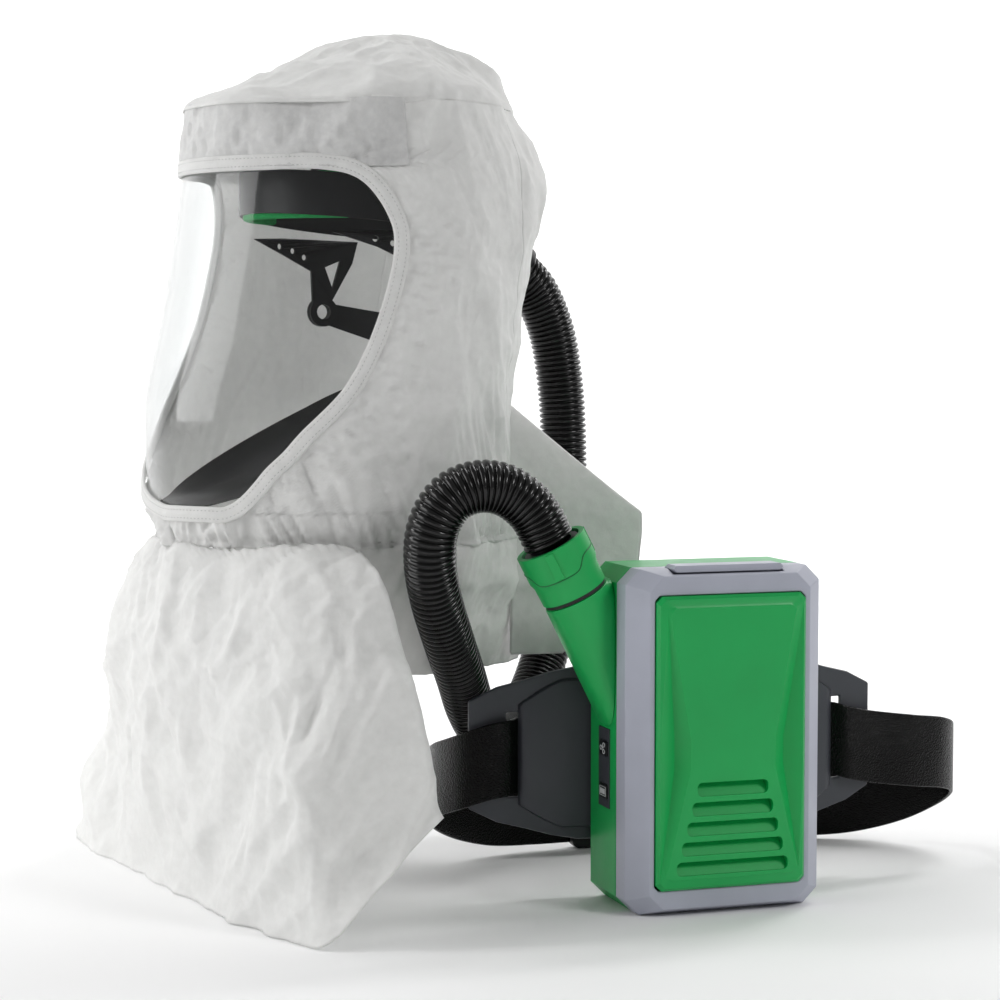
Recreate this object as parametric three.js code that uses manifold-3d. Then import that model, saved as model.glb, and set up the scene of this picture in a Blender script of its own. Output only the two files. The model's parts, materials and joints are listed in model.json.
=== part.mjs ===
// A powered air respirator: a belt-worn blower, its breathing hose and a loose-fitting
// hood, standing together on a flat surface. Millimetres, +Z up, X to the right of the
// blower, Y from its front to its back. The origin is under the middle of the object.
import * as THREE from "three";
import { mergeVertices } from "three/addons/utils/BufferGeometryUtils.js";
import Module from "manifold-3d";

const wasm = await Module();
wasm.setup();

// ---- Driving dimensions ---------------------------------------------------
const GAP = 0.3; // clearance between touching pieces
const WALL = 3; // moulded wall thickness

const BLOWER_WIDTH = 140;
const BLOWER_HEIGHT = 229;
const BLOWER_DEPTH = 76;
const BEZEL_DEPTH = 28; // front frame, measured along Y
const CORNER = 10; // chamfer on the blower's corners

const HOSE_DIAMETER = 35;
const HOSE_RADIUS = HOSE_DIAMETER / 2;
const OUTLET = new THREE.Vector3(-92, 8, 210); // centre of the duct's mouth
const OUTLET_TILT = THREE.MathUtils.degToRad(27.5); // from vertical towards -X
const OUTLET_RADIUS = 22.5;
const COLLAR_LENGTH = 37;

const BELT_WIDTH = 52;
const BELT_THICKNESS = 3;
const PLATE_HALF_WIDTH = 150;
const PLATE_MIDDLE_Z = 97;

const HOOD_AXIS = new THREE.Vector3(-185, 184, 0);
const HOOD_TURN = THREE.MathUtils.degToRad(192.7); // the way the hood faces, from +X
const FABRIC = 2.5; // thickness that stands for the crumpled cloth
const NECK_Z = 243;
const VISOR_LOW = 262;
const VISOR_HIGH = 497;
const CROWN_Z = 541;
const HOOD_TOP = 587;
const CAPE_HEM = 150;

// Middle of the whole object at floor level, which becomes the origin.
const MIDDLE = new THREE.Vector3(-69.9, 176.65, 0);

// ---- Solids ---------------------------------------------------------------
// Turns a closed geometry so that its faces point out.
function facingOut(geometry) {
  const p = geometry.attributes.position;
  const index = geometry.index.array;
  let volume = 0;
  const [a, b, c] = [0, 1, 2].map(() => new THREE.Vector3());
  for (let i = 0; i < index.length; i += 3) {
    a.fromBufferAttribute(p, index[i]);
    b.fromBufferAttribute(p, index[i + 1]);
    c.fromBufferAttribute(p, index[i + 2]);
    volume += a.dot(b.cross(c));
  }
  if (volume < 0)
    for (let i = 0; i < index.length; i += 3)
      [index[i + 1], index[i + 2]] = [index[i + 2], index[i + 1]];
  return geometry;
}

// A geometry of merged corners, with nothing but positions and faces.
function plain(geometry) {
  const bare = new THREE.BufferGeometry();
  bare.setAttribute("position", geometry.getAttribute("position"));
  bare.setIndex(geometry.index);
  return facingOut(mergeVertices(bare, 1e-3));
}

function solidOf(geometry) {
  const g = plain(geometry);
  return new wasm.Manifold(
    new wasm.Mesh({
      numProp: 3,
      vertProperties: new Float32Array(g.attributes.position.array),
      triVerts: new Uint32Array(g.index.array),
    }),
  );
}

function geometryOf(solid) {
  const made = solid.getMesh();
  const geometry = new THREE.BufferGeometry();
  geometry.setAttribute("position", new THREE.BufferAttribute(made.vertProperties, 3));
  geometry.setIndex(new THREE.BufferAttribute(made.triVerts, 1));
  return geometry;
}

function cut(body, ...tools) {
  let solid = solidOf(body);
  for (const tool of tools) solid = solid.subtract(solidOf(tool));
  return geometryOf(solid);
}

function join(...pieces) {
  let solid = solidOf(pieces[0]);
  for (const piece of pieces.slice(1)) solid = solid.add(solidOf(piece));
  return geometryOf(solid);
}

// A closed skin over rows of points. Each row is a closed loop; with `ring` the last
// row meets the first, as on a tube with a wall, and otherwise both ends are capped.
function skin(rows, ring = false) {
  const count = rows[0].length;
  const points = rows.flat();
  const faces = [];
  const last = ring ? rows.length : rows.length - 1;
  for (let i = 0; i < last; i++)
    for (let j = 0; j < count; j++) {
      const a = i * count + j;
      const b = i * count + ((j + 1) % count);
      const c = ((i + 1) % rows.length) * count + j;
      const d = ((i + 1) % rows.length) * count + ((j + 1) % count);
      faces.push(a, c, b, b, c, d);
    }
  if (!ring)
    for (const [row, turn] of [[0, false], [rows.length - 1, true]]) {
      const middle = new THREE.Vector3();
      rows[row].forEach((p) => middle.addScaledVector(p, 1 / count));
      const hub = points.push(middle) - 1;
      for (let j = 0; j < count; j++) {
        const a = row * count + j;
        const b = row * count + ((j + 1) % count);
        faces.push(hub, turn ? b : a, turn ? a : b);
      }
    }
  const geometry = new THREE.BufferGeometry().setFromPoints(points);
  geometry.setIndex(faces);
  return facingOut(geometry);
}

// A slab between two sheets of points of the same layout, closed round its edge.
function slab(outer, inner) {
  const rows = outer.map((row, i) => [...row, ...[...inner[i]].reverse()]);
  return strip(rows);
}

// Loops joined side by side, with each end closed flat, loop by loop in pairs.
function strip(rows) {
  const count = rows[0].length;
  const half = count / 2;
  const faces = [];
  for (let i = 0; i + 1 < rows.length; i++)
    for (let j = 0; j < count; j++) {
      const a = i * count + j;
      const b = i * count + ((j + 1) % count);
      faces.push(a, a + count, b, b, a + count, b + count);
    }
  for (const [row, turn] of [[0, false], [rows.length - 1, true]])
    for (let j = 0; j + 1 < half; j++) {
      const [a, b] = [row * count + j, row * count + j + 1];
      const [c, d] = [row * count + count - 1 - j, row * count + count - 2 - j];
      const quad = turn ? [a, c, b, b, c, d] : [a, b, c, b, d, c];
      faces.push(...quad);
    }
  const geometry = new THREE.BufferGeometry().setFromPoints(rows.flat());
  geometry.setIndex(faces);
  return facingOut(geometry);
}

// A box between two corners.
function box(x0, y0, z0, x1, y1, z1) {
  const g = new THREE.BoxGeometry(x1 - x0, y1 - y0, z1 - z0);
  return g.translate((x0 + x1) / 2, (y0 + y1) / 2, (z0 + z1) / 2);
}

// A cylinder from one point to another.
function rod(from, to, radius, sides = 24, endRadius = radius) {
  const along = to.clone().sub(from);
  const g = new THREE.CylinderGeometry(endRadius, radius, along.length(), sides);
  const turn = new THREE.Quaternion().setFromUnitVectors(
    new THREE.Vector3(0, 1, 0),
    along.clone().normalize(),
  );
  g.applyQuaternion(turn);
  const middle = from.clone().add(to).multiplyScalar(0.5);
  return g.translate(middle.x, middle.y, middle.z);
}

// An outline in X and Z, made solid from y0 to y1.
function plate(shape, y0, y1, segments = 4) {
  const g = new THREE.ExtrudeGeometry(shape, {
    depth: y1 - y0,
    bevelEnabled: false,
    curveSegments: segments,
  });
  return g.rotateX(Math.PI / 2).translate(0, y1, 0);
}

// A rectangle in X and Z with its corners cut off at 45 degrees.
function chamfered(x0, z0, x1, z1, c) {
  const shape = new THREE.Shape();
  shape.moveTo(x0 + c, z0);
  shape.lineTo(x1 - c, z0).lineTo(x1, z0 + c);
  shape.lineTo(x1, z1 - c).lineTo(x1 - c, z1);
  shape.lineTo(x0 + c, z1).lineTo(x0, z1 - c);
  shape.lineTo(x0, z0 + c);
  shape.closePath();
  return shape;
}

// A rectangle in X and Z with round corners.
function rounded(x0, z0, x1, z1, r) {
  const shape = new THREE.Shape();
  shape.moveTo(x0 + r, z0);
  shape.lineTo(x1 - r, z0);
  shape.absarc(x1 - r, z0 + r, r, -Math.PI / 2, 0);
  shape.absarc(x1 - r, z1 - r, r, 0, Math.PI / 2);
  shape.absarc(x0 + r, z1 - r, r, Math.PI / 2, Math.PI);
  shape.absarc(x0 + r, z0 + r, r, Math.PI, 1.5 * Math.PI);
  return shape;
}

// A body turned from a profile of [radius, height] pairs, standing on `base`
// along `axis`.
function turned(profile, base, axis, sides = 32) {
  const points = profile.map(([r, h]) => new THREE.Vector2(r, h));
  const g = new THREE.LatheGeometry(points, sides);
  const turn = new THREE.Quaternion().setFromUnitVectors(new THREE.Vector3(0, 1, 0), axis);
  return g.applyQuaternion(turn).translate(base.x, base.y, base.z);
}

// A ring with a wall, from `low` to `high` along its axis.
function sleeve(inner, outer, low, high, base, axis, sides = 32) {
  const profile = [
    [inner, low],
    [outer, low],
    [outer, high],
    [inner, high],
    [inner, low],
  ];
  return turned(profile, base, axis, sides);
}

const colours = {
  green: { color: 0x13a84b, roughness: 0.45, metalness: 0 },
  bezel: { color: 0xb4b8c8, roughness: 0.5, metalness: 0 },
  slate: { color: 0x3a3d45, roughness: 0.55, metalness: 0 },
  black: { color: 0x161616, roughness: 0.4, metalness: 0 },
  fabric: { color: 0xf0f0ee, roughness: 0.9, metalness: 0 },
  lens: { color: 0xe8eeee, roughness: 0.1, metalness: 0, transparent: true, opacity: 0.3 },
  steel: { color: 0x9a9da2, roughness: 0.35, metalness: 1 },
  board: { color: 0x1f6b3a, roughness: 0.6, metalness: 0 },
  filter: { color: 0xf3f1e6, roughness: 0.95, metalness: 0 },
};

const respirator = new THREE.Group();
respirator.position.copy(MIDDLE).negate();

function add(name, geometry, colour, parent = respirator) {
  const material = new THREE.MeshStandardMaterial(colours[colour]);
  const mesh = new THREE.Mesh(plain(geometry), material);
  mesh.name = name;
  parent.add(mesh);
  return mesh;
}

// ---- Blower ---------------------------------------------------------------
const HALF = BLOWER_WIDTH / 2;
const FRONT = -BLOWER_DEPTH / 2;
const SPLIT = FRONT + BEZEL_DEPTH;
const BACK = BLOWER_DEPTH / 2;
const PANEL_HALF = 53;
const PANEL_LOW = 18;
const PANEL_HIGH = 212;
const FAN_CENTRE_Z = 152;
const FAN_RADIUS = 40;
const ACROSS = new THREE.Vector3(0, 1, 0); // the fan's axis, front to back
const DUCT_AXIS = new THREE.Vector3(-Math.sin(OUTLET_TILT), 0, Math.cos(OUTLET_TILT));
const PANEL_Y = 11.5; // middle of the control panel on the left side
const BUTTONS = { power: 106, charge: 77 }; // heights of the two buttons
const BUTTON = { halfWidth: 7, halfHeight: 5, corner: 2 };
const BATTERY = { x: -40, y: -2, z: 13, endX: HALF, endY: 32, endZ: 62 };
const SCREWS = [
  [-58, 20],
  [58, 20],
  [-58, 209],
  [58, 209],
];

// A point on the fan's axis at depth y.
const onFanAxis = (y) => new THREE.Vector3(0, y, FAN_CENTRE_Z);

// A chamfered rectangle as a loop of points at depth y.
function loopAt(y, halfWidth, low, high, c) {
  return chamfered(-halfWidth, low, halfWidth, high, c)
    .getPoints()
    .slice(0, 8)
    .map((p) => new THREE.Vector3(p.x, y, p.y));
}

// A push button's rounded shape on the left side, from x0 to x1.
function buttonKey(x0, x1, z, grow = 0) {
  const [w, h] = [BUTTON.halfWidth + grow, BUTTON.halfHeight + grow];
  const key = plate(rounded(-w, -h, w, h, BUTTON.corner), x0, x1);
  return key.rotateZ(-Math.PI / 2).translate(0, PANEL_Y, z);
}

function rearHousing() {
  const shell = plate(chamfered(-HALF, 0, HALF, BLOWER_HEIGHT, CORNER), SPLIT + GAP, BACK);
  const hollow = chamfered(-HALF + WALL, WALL, HALF - WALL, BLOWER_HEIGHT - WALL, CORNER - 1);
  const ductPort = box(-HALF - 1, 0, 130, -HALF + WALL + 1, 24, 212);
  const doorway = box(
    HALF - WALL - 1,
    BATTERY.y - 0.4,
    BATTERY.z - 0.4,
    HALF + 1,
    BATTERY.endY + 0.4,
    BATTERY.endZ + 0.4,
  );
  const panelRecess = box(-HALF - 1, 1, 66, -HALF + 1.2, 22, 120);
  const buttonHoles = Object.values(BUTTONS).map((z) =>
    buttonKey(-HALF - 1, -HALF + WALL + 1, z, 0.4),
  );
  const screwHoles = SCREWS.map(([x, z]) =>
    rod(new THREE.Vector3(x, BACK - WALL - 1, z), new THREE.Vector3(x, BACK + 1, z), 1.9, 12),
  );
  return cut(
    shell,
    plate(hollow, SPLIT - 1, BACK - WALL),
    ductPort,
    doorway,
    panelRecess,
    ...buttonHoles,
    ...screwHoles,
  );
}

// The outlet duct widens from the round mouth to a tall slot in the housing's side.
function outletDuct() {
  const sides = 24;
  const down = new THREE.Vector3(-Math.cos(OUTLET_TILT), 0, -Math.sin(OUTLET_TILT));
  const flatten = (v) => Math.sign(v) * Math.sqrt(Math.abs(v));
  const loop = (share, thickness) =>
    Array.from({ length: sides }, (_, i) => {
      const angle = (i / sides) * 2 * Math.PI;
      const [c, s] = [Math.cos(angle), Math.sin(angle)];
      const radius = OUTLET_RADIUS - thickness;
      const mouth = OUTLET.clone().addScaledVector(down, radius * c).addScaledVector(ACROSS, radius * s);
      const slot = new THREE.Vector3(
        -HALF - GAP,
        11 + (20 - thickness) * flatten(s),
        171.5 - (50 - thickness) * flatten(c),
      );
      return slot.lerp(mouth, share);
    });
  return skin([loop(0, 0), loop(0.5, 0), loop(1, 0), loop(1, WALL), loop(0.5, WALL), loop(0, WALL)], true);
}

// The grey frame on the front: a shell with a wide opening for the filter cover.
function coverFrame() {
  const frame = skin(
    [
      loopAt(SPLIT, HALF, 0, BLOWER_HEIGHT, CORNER),
      loopAt(FRONT + 13, HALF - 0.5, 0, BLOWER_HEIGHT, CORNER),
      loopAt(FRONT, 57, 5, BLOWER_HEIGHT - 4, CORNER),
      loopAt(FRONT, PANEL_HALF + 0.4, PANEL_LOW - 0.4, PANEL_HIGH + 0.4, 3),
      loopAt(FRONT + 5, PANEL_HALF + 0.4, PANEL_LOW - 0.4, PANEL_HIGH + 0.4, 3),
      loopAt(FRONT + 7, 60, 9, BLOWER_HEIGHT - 9, CORNER - 2),
      loopAt(SPLIT, HALF - WALL, WALL, BLOWER_HEIGHT - WALL, CORNER - 1),
    ],
    true,
  );
  const latchSlot = box(-39.4, FRONT + 3.6, BLOWER_HEIGHT - 4.4, 39.4, FRONT + 20.4, BLOWER_HEIGHT + 1);
  return cut(frame, latchSlot);
}

// The catch in the top of the frame, pressed down to free the filter cover.
function coverLatch() {
  const top = BLOWER_HEIGHT;
  return plate(chamfered(-39, top - 2.2, 39, top + 2.4, 2), FRONT + 4, FRONT + 20);
}

// The filter cover: a slab with a raised middle that narrows to a waist. The face dips
// beside the waist, and five slots let the air in below it.
function filterCover() {
  const back = FRONT + 5;
  const waist = [98, 116];
  const outline = (y, waistY, inset, top, bottom, middle) => {
    const [low, high] = [PANEL_LOW + inset, PANEL_HIGH - inset];
    const right = [
      [bottom - 4, low, y],
      [bottom, low + 4, y],
      [middle, waist[0], waistY],
      [middle, waist[1], waistY],
      [top, high - 4, y],
      [top - 4, high, y],
    ];
    const left = right.map(([x, z, depth]) => [-x, z, depth]).reverse();
    return [...right, ...left].map(([x, z, depth]) => new THREE.Vector3(x, depth, z));
  };
  const rim = (y, inset) => {
    const half = PANEL_HALF - inset;
    return outline(y, y, inset, half, half, half);
  };
  const slots = Array.from({ length: 5 }, (_, i) => {
    const z = 84.5 - 13 * i;
    const half = 25.3 + 3.6 * i;
    return plate(rounded(-half, z - 4.6, half, z + 4.6, 3.5), FRONT - 12, back + 1);
  });
  const body = skin([
    rim(back, 0),
    rim(FRONT - 1.5, 0),
    rim(FRONT - 3.6, 2),
    outline(FRONT - 4.2, FRONT + 2, 6, 46, 48, 39),
    outline(FRONT - 5, FRONT - 5, 7.5, 44.5, 46.5, 30),
  ]);
  return cut(body, ...slots);
}

function impeller() {
  const hub = sleeve(3, 9, 0, 14, onFanAxis(-2), ACROSS, 16);
  const disc = sleeve(3, FAN_RADIUS, 12, 14, onFanAxis(-2), ACROSS, 36);
  const blades = Array.from({ length: 9 }, (_, i) => {
    const blade = box(7, -2, -1, FAN_RADIUS - 0.5, 11, 1);
    return blade.rotateY((i / 9) * 2 * Math.PI).translate(0, 0, FAN_CENTRE_Z);
  });
  return join(disc, hub, ...blades);
}

function fanScroll() {
  const casing = rod(onFanAxis(-3.8), onFanAxis(17), FAN_RADIUS + 7, 36);
  const room = rod(onFanAxis(-5), onFanAxis(14.5), FAN_RADIUS + 4, 36);
  const bore = rod(onFanAxis(10), onFanAxis(20), 14, 24);
  const throat = box(-60, -2, FAN_CENTRE_Z - 8, -20, 14.5, FAN_CENTRE_Z + 40);
  return cut(casing, room, bore, throat);
}

function motorPlate() {
  const edge = chamfered(-HALF + WALL + 0.5, WALL + 0.5, HALF - WALL - 0.5, BLOWER_HEIGHT - WALL - 0.5, 9);
  const inlet = rod(onFanAxis(-12), onFanAxis(0), 24, 24);
  return cut(plate(edge, -7, -4.4), inlet);
}

function batteryPack() {
  const { x, y, z, endX, endY, endZ } = BATTERY;
  const body = box(x, y, z, endX, endY, endZ);
  const buttonWell = box(endX - 6, 8, 40, endX + 1, 22, 54);
  const fingerGrip = box(endX - 5, 4, 14, endX + 1, 26, 30);
  return cut(body, buttonWell, fingerGrip);
}

function buildBlower() {
  add("rear_housing", rearHousing(), "green");
  add("outlet_duct", outletDuct(), "green");
  add("cover_frame", coverFrame(), "bezel");
  add("cover_latch", coverLatch(), "bezel");
  add("filter_cover", filterCover(), "green");
  add("prefilter", box(-46, -30.5, 33, 46, -28, 205), "filter");
  add("filter_cartridge", box(-46, -27.6, 33, 46, -12, 205), "filter");
  add("filter_seal", cut(plate(rounded(-50, 29, 50, 209, 6), -11.6, -9.8),
    plate(rounded(-42, 37, 42, 201, 4), -13, -8)), "black");
  add("motor_plate", motorPlate(), "slate");
  add("fan_scroll", fanScroll(), "slate");
  add("impeller", impeller(), "black");
  add("motor_shaft", rod(onFanAxis(-3), onFanAxis(30), 2.6, 16), "steel");
  add("motor", sleeve(3.2, 17, 0, 14.5, onFanAxis(17.6), ACROSS, 24), "steel");
  add("circuit_board", box(-64.2, -3, 66, -62.6, 30, 134), "board");
  add("battery_pack", batteryPack(), "slate");
  add("battery_release", box(HALF - 3.4, 8.4, 40.4, HALF + 0.6, 21.6, 53.6), "green");
  const panel = box(-HALF - 0.4, 1.3, 66.3, -HALF + 0.9, 21.7, 119.7);
  const holes = Object.values(BUTTONS).map((z) => buttonKey(-HALF - 2, -HALF + 2, z, 0.4));
  add("control_panel", cut(panel, ...holes), "slate");
  for (const [name, z] of Object.entries(BUTTONS)) {
    add(`${name}_button`, buttonKey(-HALF - 1.2, -HALF + 4.2, z), "black");
  }
  SCREWS.forEach(([x, z], i) => {
    const profile = [
      [0, 0],
      [1.5, 0],
      [1.5, 4],
      [3, 4],
      [3, 6],
      [0, 6],
    ];
    const screw = turned(profile, new THREE.Vector3(x, BACK + GAP - 4, z), ACROSS, 12);
    add(`housing_screw_${i + 1}`, screw, "steel");
  });
}

// ---- Outlet collar and breathing hose ---------------------------------------
// The hose leaves the collar, arches over, drops inside the belt's loop and climbs
// behind the hood to its inlet.
const HOSE_ROUTE = [
  [-110.6, 8, 245.7],
  [-122, 8, 266],
  [-140, 9, 280],
  [-160, 10, 283],
  [-178, 12, 275],
  [-188, 16, 257],
  [-188, 24, 234],
  [-180, 38, 208],
  [-165, 60, 178],
  [-148, 86, 148],
  [-134, 108, 122],
  [-118, 130, 104],
  [-96, 152, 98],
  [-72, 176, 108],
  [-52, 198, 132],
  [-38, 212, 164],
  [-29, 219, 205],
  [-25, 222, 250],
  [-25, 222, 300],
  [-28, 221, 345],
  [-36, 218, 385],
  [-50, 214, 414],
  [-67, 210, 431],
].map((p) => new THREE.Vector3(...p));
const INLET_AXIS = HOSE_ROUTE.at(-1).clone().sub(HOSE_ROUTE.at(-2)).normalize();
const INLET = HOSE_ROUTE.at(-1).clone().addScaledVector(INLET_AXIS, GAP);

function breathingHose() {
  const path = new THREE.CatmullRomCurve3(HOSE_ROUTE, false, "centripetal");
  const section = new THREE.Shape().absarc(0, 0, HOSE_RADIUS, 0, 2 * Math.PI);
  return new THREE.ExtrudeGeometry(section, {
    steps: 40,
    extrudePath: path,
    curveSegments: 10,
    bevelEnabled: false,
  });
}

function lockingCollar() {
  const profile = [
    [19.9, 3],
    [22.6, 3],
    [22.9, 16],
    [24.3, 20],
    [24.3, COLLAR_LENGTH + 2],
    [21, COLLAR_LENGTH + 2],
    [19.9, COLLAR_LENGTH - 4],
    [19.9, 3],
  ];
  const grip = (turn) => {
    const rib = box(-3, 22, 20, 3, 25.3, COLLAR_LENGTH + 1).rotateZ(turn);
    const tilt = new THREE.Quaternion().setFromUnitVectors(new THREE.Vector3(0, 0, 1), DUCT_AXIS);
    return rib.applyQuaternion(tilt).translate(OUTLET.x, OUTLET.y, OUTLET.z);
  };
  const ring = turned(profile, OUTLET, DUCT_AXIS, 40);
  return join(ring, grip(0.6), grip(2.7), grip(-1.5));
}

function buildHose() {
  add("outlet_seal", sleeve(18.4, 21.6, GAP, 2.7, OUTLET, DUCT_AXIS), "black");
  add("locking_collar", lockingCollar(), "green");
  add("hose_cuff_lower", sleeve(14.8, 19.3, 3, 38, OUTLET, DUCT_AXIS), "black");
  add("breathing_hose", breathingHose(), "black");
  add("hose_cuff_upper", sleeve(15, 19.8, 0, 12, INLET, INLET_AXIS), "black");
}

// ---- Belt and backplate -----------------------------------------------------
const BUCKLE = { y: 183, endY: 194, half: 31, low: 0.3, high: 60.3 };

// The plate's front face curves away from the blower towards its ends.
const plateY = (x) => 44 + 16 * (x / PLATE_HALF_WIDTH) ** 2;
const plateHalfHeight = (x) => 60 - 15 * THREE.MathUtils.smoothstep(Math.abs(x), 70, 145);

function curvedPlate(halfWidth, front, back, shrink, stations = 16) {
  const rows = Array.from({ length: stations + 1 }, (_, i) => {
    const x = -halfWidth + (2 * halfWidth * i) / stations;
    const corner = i === 0 || i === stations ? 8 : 0;
    const high = plateHalfHeight(x) - shrink - corner;
    return [
      [plateY(x) + front, high],
      [plateY(x) + front, -high],
      [plateY(x) + back, -high],
      [plateY(x) + back, high],
    ].map(([y, z]) => new THREE.Vector3(x, y, PLATE_MIDDLE_Z + z));
  });
  return strip(rows);
}

function backplate() {
  const slots = [-1, 1].map((side) => {
    const x = 120 * side;
    return box(x - 5, 40, PLATE_MIDDLE_Z - 29, x + 5, 66, PLATE_MIDDLE_Z + 29);
  });
  return cut(curvedPlate(PLATE_HALF_WIDTH, 0, 4, 0), ...slots);
}

// A strap standing on edge: rows of [x, y, height of its middle line].
function strap(points, width, thickness) {
  const curve = new THREE.CatmullRomCurve3(points.map((p) => new THREE.Vector3(...p)));
  const steps = points.length * 2;
  const rows = Array.from({ length: steps + 1 }, (_, i) => {
    const p = curve.getPoint(i / steps);
    const t = curve.getTangent(i / steps);
    const side = new THREE.Vector3(-t.y, t.x, 0).normalize().multiplyScalar(thickness / 2);
    return [
      [1, 1],
      [1, -1],
      [-1, -1],
      [-1, 1],
    ].map(([a, b]) => new THREE.Vector3(p.x + a * side.x, p.y + a * side.y, p.z + (b * width) / 2));
  });
  return strip(rows);
}

const BELT_LEFT = [
  [-120, 52.8, 96],
  [-127, 48.4, 95.5],
  [-140, 50.6, 93],
  [-153, 60, 87],
  [-160, 80, 80],
  [-162, 104, 73],
  [-158, 128, 64],
  [-144, 150, 52],
  [-122, 168, 41],
  [-94, 181, 33],
  [-62, 187.5, 30.5],
  [-31.4, 188.5, 30.3],
];
const BELT_RIGHT = [
  [31.4, 188.5, 30.3],
  [64, 187, 29.5],
  [104, 180, 28],
  [146, 169, 27.5],
  [184, 154, 31],
  [215, 133, 42],
  [231, 107, 58],
  [228, 80, 72],
  [210, 61, 80],
  [184, 53, 84],
  [155, 52, 88],
  [139, 50, 91],
  [127, 48.4, 94],
  [120, 52.8, 96],
];

function buildBelt() {
  add("plate_clip", plate(rounded(-32, 62, 32, 148, 8), BACK + GAP, plateY(0) - GAP), "slate");
  add("backplate", backplate(), "slate");
  add("comfort_pad", curvedPlate(104, 4.4, 11, 10, 10), "black");
  add("belt_left", strap(BELT_LEFT, BELT_WIDTH, BELT_THICKNESS), "black");
  add("belt_right", strap(BELT_RIGHT, BELT_WIDTH, BELT_THICKNESS), "black");
  const { y, endY, half, low, high } = BUCKLE;
  const button = rounded(-20, 22, -8, 39, 3);
  const well = rounded(-20.4, 21.6, -7.6, 39.4, 3);
  add("buckle_socket", cut(plate(rounded(-half, low, 2, high, 6), y, endY),
    plate(well, endY - 3, endY + 1)), "black");
  add("buckle_tongue", plate(rounded(2.3, low, half, high, 6), y + 1, endY - 1), "black");
  add("buckle_button", plate(button, endY - 1.2, endY + 1.6), "slate");
}

// ---- Hood -------------------------------------------------------------------
// In the hood's own frame X is the way the wearer faces, Y is to the wearer's left.
// Each level is [height, reach to the front, reach to the back, half width].
const HOOD_LEVELS = [
  [NECK_Z, 162, 100, 112],
  [VISOR_LOW, 167, 92, 115],
  [340, 168, 84, 118],
  [390, 155, 92, 117],
  [440, 146, 107, 116],
  [VISOR_HIGH, 137, 126, 110],
  [CROWN_Z, 131, 104, 101],
];
// The visor's edge: [height, angle from the front on the wearer's left, and on the right].
// The soft hood stands a little twisted, so the visor sits turned towards the left.
const VISOR_EDGE = [
  [VISOR_LOW, 31, -8],
  [264, 34, -3],
  [267, 36.5, 3],
  [273, 39.5, 11],
  [281, 42.5, 18],
  [290, 45.5, 25],
  [301, 50, 32],
  [313, 54, 38],
  [345, 65, 48],
  [390, 72, 55],
  [438, 76, 59],
  [465, 74, 59],
  [489, 66, 56],
  [VISOR_HIGH, 54, 50],
];

function between(table, z) {
  let i = 0;
  while (i + 2 < table.length && z > table[i + 1][0]) i += 1;
  const [low, high] = [table[i], table[i + 1]];
  const share = THREE.MathUtils.clamp((z - low[0]) / (high[0] - low[0]), 0, 1);
  return low.map((v, k) => v + (high[k] - v) * share);
}

const radians = THREE.MathUtils.degToRad;

// A point on the hood's surface, `inset` inside it, at an angle from the front.
function onHood(degrees, z, inset = 0) {
  const [, front, back, side] = between(HOOD_LEVELS, z);
  const [c, s] = [Math.cos(radians(degrees)), Math.sin(radians(degrees))];
  const reach = (c > 0 ? front : back) - inset;
  return new THREE.Vector3(reach * c, (side - inset) * s, z);
}

// A panel of the hood between two edges, each an angle for every height.
function panel(heights, startAt, endAt, columns, outside, inside) {
  const sheet = (inset) =>
    heights.map((z) =>
      Array.from({ length: columns + 1 }, (_, j) => {
        const share = j / columns;
        return onHood(startAt(z) * (1 - share) + endAt(z) * share, z, inset);
      }),
    );
  return slab(sheet(outside), sheet(inside));
}

const visorAngle = (z, side = 1) => between(VISOR_EDGE, z)[side > 0 ? 1 : 2];
const VISOR_HEIGHTS = VISOR_EDGE.map(([z]) => z);
const SEAM_ANGLE = 125; // between the side panels and the back panel
const CHIN_SEAM = 11.5; // where the two side panels meet under the visor
const INLET_HOLE = 21.2;

function sidePanel(side) {
  const low = [NECK_Z + GAP, 252, 259.5];
  const high = [VISOR_HIGH + 2.7, 520, CROWN_Z - GAP];
  const start = (z) => {
    if (z < VISOR_LOW) return side * CHIN_SEAM + 0.3;
    return z > VISOR_HIGH ? 79 : visorAngle(z, side) + 1;
  };
  const heights = [...low, ...VISOR_HEIGHTS, ...high];
  return panel(heights, (z) => side * start(z), () => side * SEAM_ANGLE, 14, 0, FABRIC);
}

function backPanel() {
  const heights = [NECK_Z + GAP, 290, 340, 390, 440, VISOR_HIGH, CROWN_Z - GAP];
  const cloth = panel(heights, () => SEAM_ANGLE + 0.4, () => 359.6 - SEAM_ANGLE, 10, 0, FABRIC);
  const inward = INLET_AXIS.clone().applyAxisAngle(new THREE.Vector3(0, 0, 1), -HOOD_TURN);
  const at = INLET.clone().sub(HOOD_AXIS).applyAxisAngle(new THREE.Vector3(0, 0, 1), -HOOD_TURN);
  return cut(cloth, rod(at, at.clone().addScaledVector(inward, 60), INLET_HOLE, 20));
}

function crown() {
  const ring = (share, drop) =>
    Array.from({ length: 24 }, (_, i) => {
      const p = onHood(15 * i, CROWN_Z, drop);
      const front = 0.5 + 0.5 * Math.cos(radians(15 * i));
      const bulge = (1 - share ** (2.4 - 1.2 * front)) ** (0.62 + 0.33 * front);
      const rise = (HOOD_TOP - CROWN_Z) * bulge;
      return new THREE.Vector3(p.x * share, p.y * share, CROWN_Z + GAP + rise - (share < 1 ? drop : 0));
    });
  const shares = [0.2, 0.4, 0.6, 0.76, 0.88, 0.96, 1];
  return skin([
    ...shares.map((s) => ring(s, 0)),
    ...[...shares].reverse().map((s) => ring(s, FABRIC)),
  ]);
}

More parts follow.
